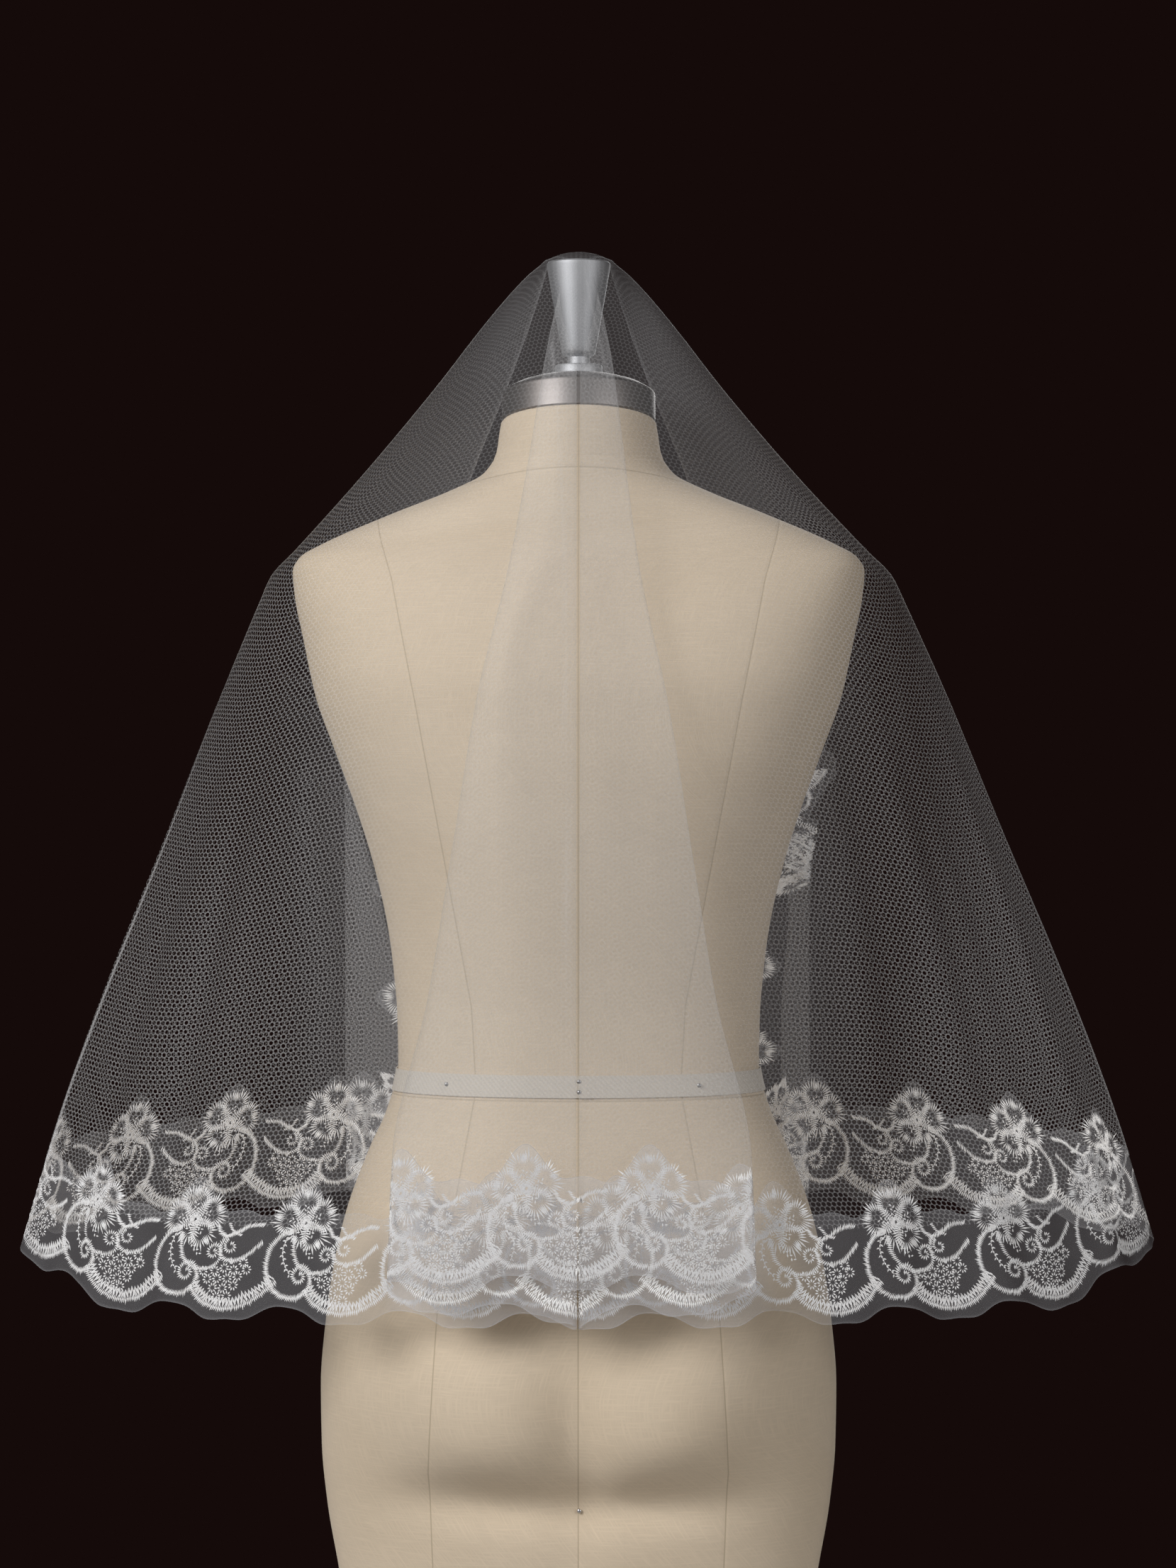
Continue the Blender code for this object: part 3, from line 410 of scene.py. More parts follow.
connect(tree, shader, {"Base Color": sewn[2], "Normal": bump["Normal"]})
dress(form, linen, "cream_linen", "torso")

# The waist tape: 15 mm white cotton twill, laid round the waist and pinned, its ends lapped at the back.
# The pins are steel with round heads, and one more is left in the middle seam low on the back.

turn = np.linspace(-math.pi / 2, 1.5 * math.pi, 161)
tape_rows = []
for height in np.linspace(TAPE_BOTTOM, TAPE_TOP, 5):
    ring = form_section(turn, np.full_like(turn, height))
    out = ring[:, :2] / np.linalg.norm(ring[:, :2], axis=1, keepdims=True)
    ring[:, :2] += out * (1.1 - 0.25 * abs(height - (TAPE_BOTTOM + TAPE_TOP) / 2) / 7.25)
    tape_rows.append(ring)
tape_rows = np.array(tape_rows)
tape_rows[:, :3, 1] -= np.array([0.75, 0.75, 0.4])
run = np.pad(np.linalg.norm(np.diff(tape_rows[2], axis=0), axis=1).cumsum(), (1, 0))
flat = np.stack(np.broadcast_arrays(run, tape_rows[:, 0, 2][:, None]), axis=-1) * MM
tape, row, column = laid_grid("twill_tape", tape_rows, flat)
thick = tape.modifiers.new("thickness", "SOLIDIFY")
thick.thickness, thick.offset = 0.5 * MM, 1.0
bpy.context.view_layer.objects.active = tape
bpy.ops.object.modifier_apply(modifier=thick.name)
bpy.ops.object.shade_smooth_by_angle(angle=math.radians(40))

# Cotton twill: fine slanting ribs 1 mm apart, a firm edge on each side, slightly warmer than the net.
cotton, tree, shader = finish("white_cotton_twill", "#CFC6BA", 0.8)
cut = add_node(tree, "UVMap", {"uv_map": "cut"})
ribs = add_node(
    tree,
    "TexWave",
    {"bands_direction": "DIAGONAL"},
    {"Vector": cut["UV"], "Scale": 190.0, "Distortion": 0.6, "Detail": 1.0},
)
tone_and_relief(tree, shader, ribs["Fac"], "#CBC2B6", "#D2CABE", ribs["Fac"], 0.12, 0.3 * MM)
dress(tape, cotton, "white_tape", "waist_tape")

PINS = ((-86.5, 548.5), (0.5, 551.6), (0.5, 544.9), (79.0, 548.0), (0.5, 273.0))  # across, and up
PIN_RADIUS, PIN_OUT = 1.5, 2.1
pins = []
for x, height in PINS:
    angles = np.linspace(-math.pi, 0.0, 2001)
    found = form_section(angles, np.full_like(angles, height))
    spot = found[np.argmin(np.abs(found[:, 0] - x))]
    bpy.ops.object.select_all(action="DESELECT")
    place = (spot[0] * MM, (spot[1] - PIN_OUT) * MM, height * MM)
    bpy.ops.mesh.primitive_uv_sphere_add(segments=16, ring_count=8, radius=PIN_RADIUS * MM, location=place)
    pin = bpy.context.object
    bpy.ops.object.mode_set(mode="EDIT")
    bpy.ops.transform.resize(value=(1.0, 0.62, 1.0))
    bpy.ops.object.mode_set(mode="OBJECT")
    bpy.ops.object.shade_smooth()
    pins.append(pin)
bpy.ops.object.select_all(action="DESELECT")
for pin in pins:
    pin.select_set(True)
bpy.context.view_layer.objects.active = pins[0]
bpy.ops.object.join()
bpy.ops.object.transform_apply(location=True, rotation=True, scale=True)
pin_heads = bpy.context.object
pin_heads.name = "pin_heads"
dress(pin_heads, steel, "brushed_steel")

# The neck cap and the hanging post: spun and turned metal. The cap slopes with the neck's top, and the post
# stands on it: a flange, a short stem and a cone that widens to the flat top the veil lies on.

CAP_PROFILE = (
    (50.6, 0.0), (51.5, 0.9), (51.5, 17.6), (51.2, 18.9), (50.3, 19.8), (48.6, 20.9), (44.0, 23.5),
    (37.0, 26.0), (30.0, 27.7), (22.0, 29.1), (14.0, 30.0), (6.0, 30.4),
)  # fmt: skip
cap = lathe("neck_cap_spun_steel", CAP_PROFILE, 128)
bpy.context.view_layer.objects.active = cap
cap.rotation_euler = (-NECK_TILT, 0.0, 0.0)
cap.location = (0.0, 0.0, (NECK_TOP + 0.3) * MM)
bpy.ops.object.transform_apply(location=True, rotation=True, scale=True)

# Spun steel, dulled by handling: the same rings as on the pole, darker and softer.
dull, tree, shader = finish("dull_spun_steel", "#857F7C", 0.5, Metallic=1.0)
place = add_node(tree, "TexCoord")
rings = add_node(tree, "Mapping", inputs={"Vector": place["Object"], "Scale": (8.0, 8.0, 700.0)})
lines = add_node(tree, "TexNoise", inputs={"Vector": rings["Vector"], "Scale": 1.0, "Detail": 3.0})
tone_and_relief(tree, shader, lines["Fac"], "#7B7572", "#8F8986", lines["Fac"], 0.2, 0.2 * MM)
dress(cap, dull, "brushed_steel", "neck_cap")

POST_PROFILE = (
    (15.0, 1020.0), (15.9, 1021.0), (15.9, 1025.7), (15.5, 1026.3), (14.6, 1026.6), (8.3, 1026.6),
    (7.5, 1027.2), (7.5, 1031.8), (8.4, 1032.4), (9.9, 1033.1), (11.0, 1034.4), (11.6, 1036.2),
    (12.2, 1040.0), (21.3, 1092.5), (21.3, 1094.6), (20.6, 1095.5), (8.0, 1095.5),
)  # fmt: skip
post = lathe("hanging_post_turned_steel", POST_PROFILE, 128)

# The post is finer and paler than the cap: bead-blasted, soft and even, and pale as aluminium is.
blasted, tree, shader = finish("bead_blasted_aluminium", "#B4B5B8", 0.6, Metallic=1.0)
place = add_node(tree, "TexCoord")
beads = add_node(tree, "TexNoise", inputs={"Vector": place["Object"], "Scale": 1400.0, "Detail": 2.0})
clouds = add_node(tree, "TexNoise", inputs={"Vector": place["Object"], "Scale": 40.0, "Detail": 4.0})
tone_and_relief(tree, shader, clouds["Fac"], "#ADAEB1", "#BEBFC2", beads["Fac"], 0.2, 0.2 * MM)
dress(post, blasted, "brushed_steel", "hanging_post")

# The net: one oval of soft nylon bobbinet with a straight top edge, 1.6 m wide and 0.8 m long with its
# lace. It lies over the post, falls in a box pleat down the back, is held out by the shoulders and comes
# forward to two folded front edges. Its cut edge is sewn under the lace.

CORNER_RADIUS, LACE_REPEAT, LACE_VALLEY, LACE_HEIGHT = 96.0, 81.0, 78.0, 92.0
BEND = (CORNER_RADIUS - 0.5 * LACE_HEIGHT) * math.pi / 2
POST_TOP, HEM_DROP, CORNER_DROP = 1095.5, 695.0, 345.0
PLEAT_LAYER, PANEL_CROWN, FLIP_X = 6.0, 5.0, 182.0
PLEAT_HEART = 4.2  # the inner folds' distance from the centre: closer than in the part, whose wall is thick
PANEL_RISE, SIDE_RISE, FRONT_RISE, RISE_START = 27.0, 37.0, 48.0, 250.0
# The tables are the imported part's: each row is at a drop below the post's top.
OUTLINE_COLUMNS = ("drop", "back", "wing", "side_y", "square")
OUTLINE_ROWS = (
    (-30.0, -14.0, 8.0, 14.0, 2.0),
    (-15.0, 4.0, 14.0, 3.0, 2.0),
    (0.0, 22.3, 22.6, -2.0, 2.0),
    (10.0, 28.0, 34.0, -3.0, 2.0),
    (25.0, 36.0, 48.0, -3.5, 2.0),
    (50.0, 47.5, 68.5, -4.0, 2.0),
    (80.0, 58.5, 91.5, -4.5, 2.0),
    (110.0, 66.5, 116.0, -5.0, 2.0),
    (150.0, 77.0, 150.5, -5.0, 2.0),
    (195.0, 90.5, 192.0, -5.0, 2.0),
    (211.0, 95.0, 207.5, -5.0, 2.0),
    (228.0, 99.5, 215.5, -5.0, 2.0),
    (300.0, 117.0, 246.0, -6.0, 1.9),
    (400.0, 129.0, 282.0, -7.0, 1.8),
    (500.0, 138.0, 318.0, -8.0, 1.7),
    (600.0, 146.0, 351.5, -9.0, 1.6),
    (695.0, 153.0, 379.0, -10.0, 1.6),
)
EDGE_COLUMNS = ("drop", "edge_x", "edge_y")
EDGE_ROWS = (
    (-30.0, 15.0, 12.0),
    (-15.0, 19.0, 11.5),
    (0.0, 20.5, 10.5),
    (15.0, 24.5, 14.0),
    (45.0, 34.5, 21.0),
    (80.0, 48.0, 31.5),
    (145.0, 75.0, 53.0),
    (210.0, 95.0, 78.0),
    (260.0, 100.0, 101.0),
    (300.0, 97.0, 120.0),
    (345.0, 84.0, 138.0),
    (400.0, 64.0, 145.0),
    (460.0, 53.0, 146.0),
    (520.0, 52.0, 146.5),
    (695.0, 52.0, 148.0),
)
PANEL_COLUMNS = ("drop", "panel", "folded")
PANEL_ROWS = (
    (-30.0, 3.0, 0.0),
    (0.0, 6.0, 0.0),
    (30.0, 12.0, 0.45),
    (80.0, 20.0, 1.0),
    (145.0, 29.0, 1.0),
    (210.0, 39.0, 1.0),
    (300.0, 58.5, 1.0),
    (400.0, 73.5, 1.0),
    (500.0, 88.5, 1.0),
    (600.0, 110.0, 1.0),
    (695.0, 114.0, 1.0),
)
FOLD_COLUMNS = ("drop", "open", "width_left", "width_right", "flip")
FOLD_ROWS = (
    (230.0, 0.0, 0.0, 0.0, 0.0),
    (300.0, 0.3, 0.0, 30.0, 1.0),
    (340.0, 1.0, 0.0, 34.0, 1.0),
    (372.0, 1.0, 2.0, 34.0, 0.97),
    (405.0, 1.0, 8.0, 18.0, 0.66),
    (465.0, 1.0, 21.0, 10.0, 0.0),
    (550.0, 1.0, 34.0, 15.0, 0.0),
    (695.0, 1.0, 34.0, 15.0, 0.0),
)
SIDE_COLUMNS = ("name", "sign", "wing_share", "panel_out", "fold_outer", "flip_share")
SIDES = (("left", -1.0, 0.986, 4.0, 163.0, 0.0), ("right", 1.0, 1.014, -4.0, 161.0, 1.0))


def ramp(value, start, length):
    u = np.clip((value - start) / length, 0.0, 1.0)
    return u * u * (3 - 2 * u)


def corner_arc(u, start, end, square):
    """A quarter of a rounded outline from start, where it runs along x, to end, where it runs along y."""
    power = 2.0 / square
    across = np.sin(u * math.pi / 2) ** power
    along = 1 - np.cos(u * math.pi / 2) ** power
    return np.stack([start[0] + (end[0] - start[0]) * across, start[1] + (end[1] - start[1]) * along])


def half_turn(u, centre, radius, towards):
    angle = (u - 0.5) * math.pi
    return np.stack([centre[0] + towards * radius * np.cos(angle), centre[1] + radius * np.sin(angle)])


def straight(u, start, end):
    return np.stack([start[0] + (end[0] - start[0]) * u, start[1] + (end[1] - start[1]) * u])


def folded_path(k, size):
    """The half section with all its folds, for places k from 0 at the back's centre to 10 at the edge."""
    back, layer = -size["back"], PLEAT_LAYER
    top, panel, heart = back - 2 * layer, size["panel"], PLEAT_HEART
    crease = (size["wing"], size["side_y"])
    front, outer = size["edge_y"] - 2 * layer, size["fold_outer"]
    inner = outer - size["fold_width"]
    edge = (size["edge_x"], size["edge_y"])
    turned_out = straight((k - 8.0) / 2, (outer, front + layer), (FLIP_X, front + 1.4 * layer))
    u = np.clip(k - np.minimum(np.floor(k), 9), 0.0, 1.0)
    pieces = (
        np.stack([panel * u, top - PANEL_CROWN * (1 - u * u)]),
        half_turn(u, (panel, top + layer / 2), layer / 2, 1),
        straight(u, (panel, top + layer), (heart, top + layer)),
        half_turn(u, (heart, top + 1.5 * layer), layer / 2, -1),
        corner_arc(u, (heart, back), crease, size["square"]),
        corner_arc(1 - u, (inner, front), crease, size["square"]),
        half_turn(u, (inner, front + layer / 2), layer / 2, -1),
        straight(u, (inner, front + layer), (outer, front + layer)),
        half_turn(u, (outer, front + 1.5 * layer), layer / 2, 1),
        straight(u, (outer, front + 2 * layer), edge),
    )
    which = np.clip(np.floor(k), 0, 9).astype(int)
    path = np.stack([np.choose(which, [p[axis] for p in pieces]) for axis in (0, 1)])
    return path + (k > 8) * size["flip"] * (turned_out - path)


def smooth_path(k, size):
    """The half section with no fold: one curve behind the side crease and one in front of it."""
    crease = (size["wing"], size["side_y"])
    behind = np.interp(k, (0, 1, 2, 3, 4, 5), (0.0, 0.12, 0.18, 0.24, 0.30, 1.0))
    ahead = np.interp(k, (5, 6, 7, 8, 9, 10), (0.0, 0.56, 0.62, 0.68, 0.74, 1.0))
    near = corner_arc(behind, (0.0, -size["back"]), crease, size["square"])
    far = corner_arc(1 - ahead, (size["edge_x"], size["edge_y"]), crease, size["square"])
    return np.where(k <= 5, near, far)


def still_cloth(side, k, drop):
    """Points on the cloth as its tables give it, in millimetres, for equal arrays of places and drops."""
    side = dict(zip(SIDE_COLUMNS, side))
    size = {name: eased(drop, OUTLINE_ROWS, OUTLINE_COLUMNS, name) for name in OUTLINE_COLUMNS[1:]}
    size |= {name: eased(drop, EDGE_ROWS, EDGE_COLUMNS, name) for name in EDGE_COLUMNS[1:]}
    size |= {name: eased(drop, PANEL_ROWS, PANEL_COLUMNS, name) for name in PANEL_COLUMNS[1:]}
    low = ramp(drop, 60.0, 240.0)
    size["wing"] = size["wing"] * (1 + (side["wing_share"] - 1) * low)
    size["panel"] = size["panel"] + side["panel_out"] * low
    size["fold_outer"] = np.full_like(drop, side["fold_outer"])
    size["fold_width"] = eased(drop, FOLD_ROWS, FOLD_COLUMNS, "width_" + side["name"])
    size["flip"] = side["flip_share"] * eased(drop, FOLD_ROWS, FOLD_COLUMNS, "flip")
    folded = np.where(k <= 5, size["folded"], eased(drop, FOLD_ROWS, FOLD_COLUMNS, "open"))
    x, y = folded * folded_path(k, size) + (1 - folded) * smooth_path(k, size)
    rim = POST_TOP + 0.8
    dome = 6.0 * np.clip(1 - (np.hypot(x, y) / 22.3) ** 2, 0.0, 1.0)
    rise = ramp(drop, RISE_START, HEM_DROP - RISE_START) * (
        PANEL_RISE * (1 - ramp(k, 0.0, 4.0))
        + SIDE_RISE * ramp(k, 4.58, 0.42)
        + (FRONT_RISE - SIDE_RISE) * ramp(k, 5.0, 1.0)
    )
    z = np.where(drop < 0, rim + dome, rim - drop + rise)
    return np.stack([side["sign"] * x, y, z], axis=-1)


# Soft flutes in the cloth, as (length along the hem, height, start), in millimetres.
FLUTES = ((71.0, 1.5, 0.4), (43.0, 0.9, 2.1), (27.0, 0.5, 4.4))


def cloth(side, k, drop, out=0.0):
    """The same with its soft flutes, and moved out of the cloth by a length."""
    here = still_cloth(side, k, drop)
    over_k = still_cloth(side, k + 0.01, drop) - still_cloth(side, k - 0.01, drop)
    down = still_cloth(side, k, drop + 1.0) - still_cloth(side, k, np.maximum(drop - 1.0, -30.0))
    normal = np.cross(over_k, down) * side[1]
    normal /= np.maximum(np.linalg.norm(normal, axis=-1, keepdims=True), 1e-12)
    along = np.interp(k, (0, 4, 5, 6, 10), (0, 330, 700, 950, 1150)) * side[1]
    flutes = sum(tall * np.sin(2 * math.pi * along / long + start) for long, tall, start in FLUTES)
    free = ramp(drop, 230.0, 260.0) * (0.25 + 0.75 * ramp(k, 4.0, 0.35)) * (1 - 0.75 * ramp(k, 5.75, 0.25))
    return here + normal * (flutes * free + out)[..., None]


class VeilSide:
    """Fine points of the cloth on one side, and how far each is from the front edge and from the hem."""

    def __init__(self, side):
        self.side, self.sign = side, side[1]
        spacing = (22, 6, 8, 6, 62, 48, 8, 5, 12, 12)  # columns in each stretch of the section
        places = [np.linspace(i, i + 1, n + 1)[:-1] for i, n in enumerate(spacing)]
        self.k = np.unique(np.concatenate([*places, [4.97, 4.985, 4.994, 5.006, 5.015, 5.03, 10.0]]))
        bend, slope = np.linspace(-30.0, 0.0, 9)[:-1], np.arange(0.0, 60.0, 3.0)
        self.drop = np.concatenate([bend, slope, np.arange(60.0, HEM_DROP, 5.0), [HEM_DROP]])
        k, drop = np.meshgrid(self.k, self.drop)
        points = still_cloth(side, k, drop)
        across = np.linalg.norm(np.diff(points, axis=1), axis=2)
        self.from_edge = np.pad(across[:, ::-1].cumsum(1)[:, ::-1], ((0, 0), (0, 1)))
        down = np.linalg.norm(np.diff(points, axis=0), axis=2)
        self.from_hem = np.pad(down[::-1].cumsum(0)[::-1], ((0, 1), (0, 0)))
        self.hem_length = float(self.from_edge[-1, 0])
        self.level = self.hem_length - CORNER_RADIUS
        self.upright = self.level + BEND
        beside = float(np.interp(CORNER_DROP, self.drop, self.from_hem[:, -1]))
        self.length = self.hem_length + beside - 2 * CORNER_RADIUS + BEND
        self.low = float(self.find(np.array([LACE_VALLEY]), np.array([CORNER_RADIUS]))[1][0])

    @staticmethod
    def crossing(rows, places, wanted):
        """Where each row of falling values reaches its wanted number."""
        i = np.arange(len(rows))
        j = np.clip((rows > wanted[:, None]).sum(1) - 1, 0, rows.shape[1] - 2)
        fall = np.maximum(rows[i, j] - rows[i, j + 1], 1e-9)
        share = np.clip((rows[i, j] - wanted) / fall, 0.0, 1.0)
        return places[j] + (places[j + 1] - places[j]) * share

    @staticmethod
    def rows_at(values, places, wanted):
        """The rows of a table at these places, between its own rows."""
        i = np.clip(np.searchsorted(places, wanted, side="right") - 1, 0, len(places) - 2)
        u = ((wanted - places[i]) / (places[i + 1] - places[i]))[:, None]
        return values[i] * (1 - u) + values[i + 1] * u

    def drop_above(self, k, from_hem):
        return self.crossing(self.rows_at(self.from_hem.T, self.k, k), self.drop, from_hem)

    def place_from_edge(self, drop, from_edge):
        return self.crossing(self.rows_at(self.from_edge, self.drop, drop), self.k, from_edge)

    def find(self, from_edge, from_hem):
        """The places k and the drops that lie these two lengths of cloth from the edges."""
        drop = HEM_DROP - from_hem
        for _ in range(6):
            k = self.place_from_edge(drop, from_edge)
            drop = self.drop_above(k, from_hem)
        share = ramp(from_edge, CORNER_RADIUS, 9.0)
        at_hem = np.interp(from_edge, self.from_edge[-1][::-1], self.k[::-1])
        k = k + share * (at_hem - k)
        return k, np.where(share > 0, self.drop_above(k, from_hem), drop)

    def border(self, along, up):
        """The same for places on the border: how far along it from the centre of the back, and how far up
        from the tips of its scallops."""
        angle = np.clip((along - self.level) / BEND, 0.0, 1.0) * math.pi / 2
        reach, bent = CORNER_RADIUS - up, along > self.level
        from_edge = np.where(bent, CORNER_RADIUS - reach * np.sin(angle), self.hem_length - along)
        from_hem = np.where(bent, CORNER_RADIUS - reach * np.cos(angle), up)
        k, drop = self.find(from_edge, from_hem)
        share = (along - self.upright) / (self.length - self.upright)
        beside = self.low + (CORNER_DROP - self.low) * share
        return (
            np.where(along > self.upright, self.place_from_edge(beside, up), k),
            np.where(along > self.upright, beside, drop),
        )


sides = [VeilSide(side) for side in SIDES]
NET_INSET = 61.0  # from the hem to the net's cut edge, through the middle of the lace's flowers
LACE_REACH, UNCUT = 250.0, 999.0  # above the lace, the net's front edge is its own and isn't cut
# The sharp folds: the pleat's two on each side, the side crease and the front edge's two.
SHARP_FOLDS = ((1.5, 1.8, 1.3), (3.5, 2.0, 0.5), (5.0, 1.6, 2.2), (6.5, 2.0, 0.6), (8.5, 2.0, 0.5))
# Small tucks on the back, as (x, height, width, strength) along each.
TUCKS = (
    ((-9.0, 1082.0, 0.9, 1.2), (-12.5, 1067.0, 0.9, 1.2), (-17.5, 1052.0, 1.0, 1.4),
     (-19.0, 1046.0, 1.3, 1.6), (-17.5, 1029.0, 1.2, 1.0), (-14.5, 1008.0, 1.2, 0.5)),
    ((-19.0, 1046.0, 1.0, 1.2), (-21.0, 1024.0, 1.0, 1.0), (-25.5, 998.0, 1.0, 0.8)),
    ((3.0, 1092.0, 0.8, 0.5), (9.0, 1058.0, 0.9, 0.8), (20.0, 1007.0, 1.0, 0.8)),
    ((-14.5, 1008.0, 1.1, 0.4), (-9.0, 900.0, 1.0, 0.6), (-7.0, 620.0, 1.0, 0.7), (-8.0, 500.0, 1.2, 0.5)),
)  # fmt: skip


def off_line(x, z, line):
    """How strongly a tuck shows at each point: 1 on its line and less beside it."""
    found = np.zeros_like(x)
    for (x0, z0, w0, s0), (x1, z1, w1, s1) in zip(line, line[1:]):
        along = (x - x0) * (x1 - x0) + (z - z0) * (z1 - z0)
        t = np.clip(along / ((x1 - x0) ** 2 + (z1 - z0) ** 2), 0.0, 1.0)
        off = np.hypot(x - x0 - (x1 - x0) * t, z - z0 - (z1 - z0) * t) / (w0 + (w1 - w0) * t)
        found = np.maximum(found, (s0 + (s1 - s0) * t) * np.exp(-(off**2)))
    return found


def joined(left, right):
    """One grid from both sides' grids, whose first columns are both the centre of the back."""
    return np.concatenate([left[:, ::-1], right[:, 1:]], axis=1)


found = []
for part in sides:
    k, drop = np.meshgrid(part.k, part.drop)
    surface = cloth(part.side, k, drop)
    a, b = part.from_edge, part.from_hem
    round_it = (a < CORNER_RADIUS) & (b < CORNER_RADIUS)
    bent = CORNER_RADIUS - np.hypot(CORNER_RADIUS - a, CORNER_RADIUS - b)
    inset = np.where(round_it, bent, np.minimum(a, b))
    above = part.drop < CORNER_DROP
    inset[above] = np.where(b[above] > LACE_REACH, UNCUT, inset[above])
    pleated = eased(part.drop, PANEL_ROWS, PANEL_COLUMNS, "folded")
    turned_back = eased(part.drop, FOLD_ROWS, FOLD_COLUMNS, "open")
    gather = np.zeros_like(k)
    for place, width, strength in SHARP_FOLDS:
        at = np.array([np.interp(place, part.k, row) for row in a])[:, None]
        opens = pleated if place < 5 else turned_back if place > 5 else np.ones_like(pleated)
        gather += strength * opens[:, None] * np.exp(-(((a - at) / width) ** 2))
    gather += 0.9 * np.exp(-((a / 1.6) ** 2)) * (drop < CORNER_DROP)
    back = (k <= 1.0) & (drop > 0)
    for line in TUCKS:
        gather += np.where(back, off_line(surface[..., 0], surface[..., 2], line), 0.0)
    # The cloth laid flat again: how far a point is down the cloth, turned by how far it is across.
    slant = np.maximum(b[0].max() - b, 0.0) + 22.0
    across = np.linalg.norm(np.diff(surface, axis=1), axis=2)
    turned = np.pad((across / ((slant[:, 1:] + slant[:, :-1]) / 2)).cumsum(1), ((0, 0), (1, 0)))
    flat = np.stack([part.sign * slant * np.sin(turned), -slant * np.cos(turned)], axis=-1) * MM
    found.append((surface, flat, inset, gather))
points, flats, insets, gathers = (joined(*pair) for pair in zip(*found))

# The crossings just outside the cut edge are drawn in onto it, and the cloth beyond it is cut away.
inside = insets >= NET_INSET
moved_points, moved_flats, kept = points.copy(), flats.copy(), inside.copy()
best = np.full(insets.shape, -1.0)
for shift, axis in ((1, 0), (-1, 0), (1, 1), (-1, 1)):
    beside = np.roll(insets, shift, axis)
    edge = np.zeros_like(inside)
    np.moveaxis(edge, axis, 0)[0 if shift > 0 else -1] = True
    use = ~inside & (beside >= NET_INSET) & (beside > best) & ~edge
    share = (NET_INSET - insets[use]) / np.maximum(beside[use] - insets[use], 1e-6)
    moved_points[use] = points[use] + (np.roll(points, shift, axis)[use] - points[use]) * share[:, None]
    moved_flats[use] = flats[use] + (np.roll(flats, shift, axis)[use] - flats[use]) * share[:, None]
    best[use] = beside[use]
    kept |= use
net, row, column = laid_grid("net", moved_points, moved_flats)
write_values(net, "gather", gathers[row, column])
bpy.ops.object.mode_set(mode="EDIT")
bpy.ops.mesh.select_all(action="DESELECT")
bpy.ops.object.mode_set(mode="OBJECT")
net.data.vertices.foreach_set("select", ~kept[row, column])
bpy.ops.object.mode_set(mode="EDIT")
bpy.ops.mesh.delete(type="VERT")
bpy.ops.object.mode_set(mode="OBJECT")
bpy.ops.object.shade_smooth()

# Nylon bobbinet: six-sided cells 1.5 mm across of thread as thin as hair, drawn 3.4 mm across so that they
# show. Each layer hides little of what is behind it, and more where the cloth is folded sharply. Over the
# middle of the back the pleat's layers cross, and the mesh is drawn fainter, as real cells blend there.
MESH_CELL = 3.4 * MM
MESH_MEAN = 0.34  # the mean of the mesh's pattern, from 0 in a cell to 1 on a thread
THREAD_COVER, GATHER_COVER = 0.26, 0.15  # how much a thread and a sharp fold hide of what is behind


def off_centre(tree, start, end, low, high):
    """A value that eases from low to high between two distances from the centre of the back, in metres."""
    place = add_node(tree, "TexCoord")
    split = add_node(tree, "SeparateXYZ", inputs={0: place["Object"]})
    away = add_node(tree, "Math", {"operation": "ABSOLUTE"}, {0: split["X"]})
    return fading(tree, away[0], start, end, low, high)


nylon, tree, shader = finish("white_nylon_bobbinet", "#D4D3D4", 0.55, Sheen_Weight=0.1)
cut = add_node(tree, "UVMap", {"uv_map": "cut"})
wave_number = 4 * math.pi / (math.sqrt(3) * MESH_CELL)
total = 0.0
for angle in (0.0, 120.0, 240.0):
    across = [wave_number * part_of(math.radians(angle)) for part_of in (math.cos, math.sin)] + [0.0]
    phase = add_node(tree, "VectorMath", {"operation": "DOT_PRODUCT"}, {0: cut["UV"], 1: across})
    ridge = add_node(tree, "Math", {"operation": "COSINE"}, {0: phase["Value"]})
    total = add_node(tree, "Math", {"operation": "ADD"}, {0: total, 1: ridge[0]})[0]
thread = fading(tree, total, -1.1, -0.6, 1.0, 0.0)
clear = off_centre(tree, 0.10, 0.20, 0.3, 1.0)
blend = add_node(tree, "Mix", {"data_type": "FLOAT"}, {0: clear, 2: MESH_MEAN, 3: thread})
dense = add_node(tree, "Math", {"operation": "MULTIPLY"}, {0: blend[0], 1: THREAD_COVER})
gather = add_node(tree, "Attribute", {"attribute_name": "gather"})
hides = {0: gather["Fac"], 1: GATHER_COVER, 2: dense[0]}
fuller = add_node(tree, "Math", {"operation": "MULTIPLY_ADD"}, hides)
connect(tree, shader, {"Alpha": fuller[0]})
dress(net, nylon, "white_net", "net_back", "net_front_left", "net_front_right")

# The lace's ground: a band of sheer organza 85 to 90 mm wide with a scalloped lower edge and a lobed upper
# one, sewn over the net's cut edge with one line of fine stitches. It runs round the whole curved edge.

TIP, FLOWER = 0.0, -33.0  # along the repeat, the lowest point of a scallop and the middle of a flower


def ground_edges(u):
    """The lower and the upper edge of the ground, up from the tips of its scallops, by place along it."""
    turn = 2 * math.pi * (u - TIP) / LACE_REPEAT
    lower = 10.5 * (0.5 - 0.5 * np.cos(turn)) ** 1.5 + 0.7 * np.sin(3 * turn + 1.0)
    lobe = 2 * math.pi * (u - FLOWER) / LACE_REPEAT
    upper = 69.0 + 21.0 * (0.5 + 0.5 * np.cos(lobe)) ** 2.2 + 2.5 * np.sin(2 * lobe + 2.2)
    return np.maximum(lower, 0.0), upper


def border_map(part, along, up, out):
    """Points on the border, in millimetres, moved out of the cloth by a length."""
    k, drop = part.border(along, up)
    return cloth(part.side, k, drop, out)


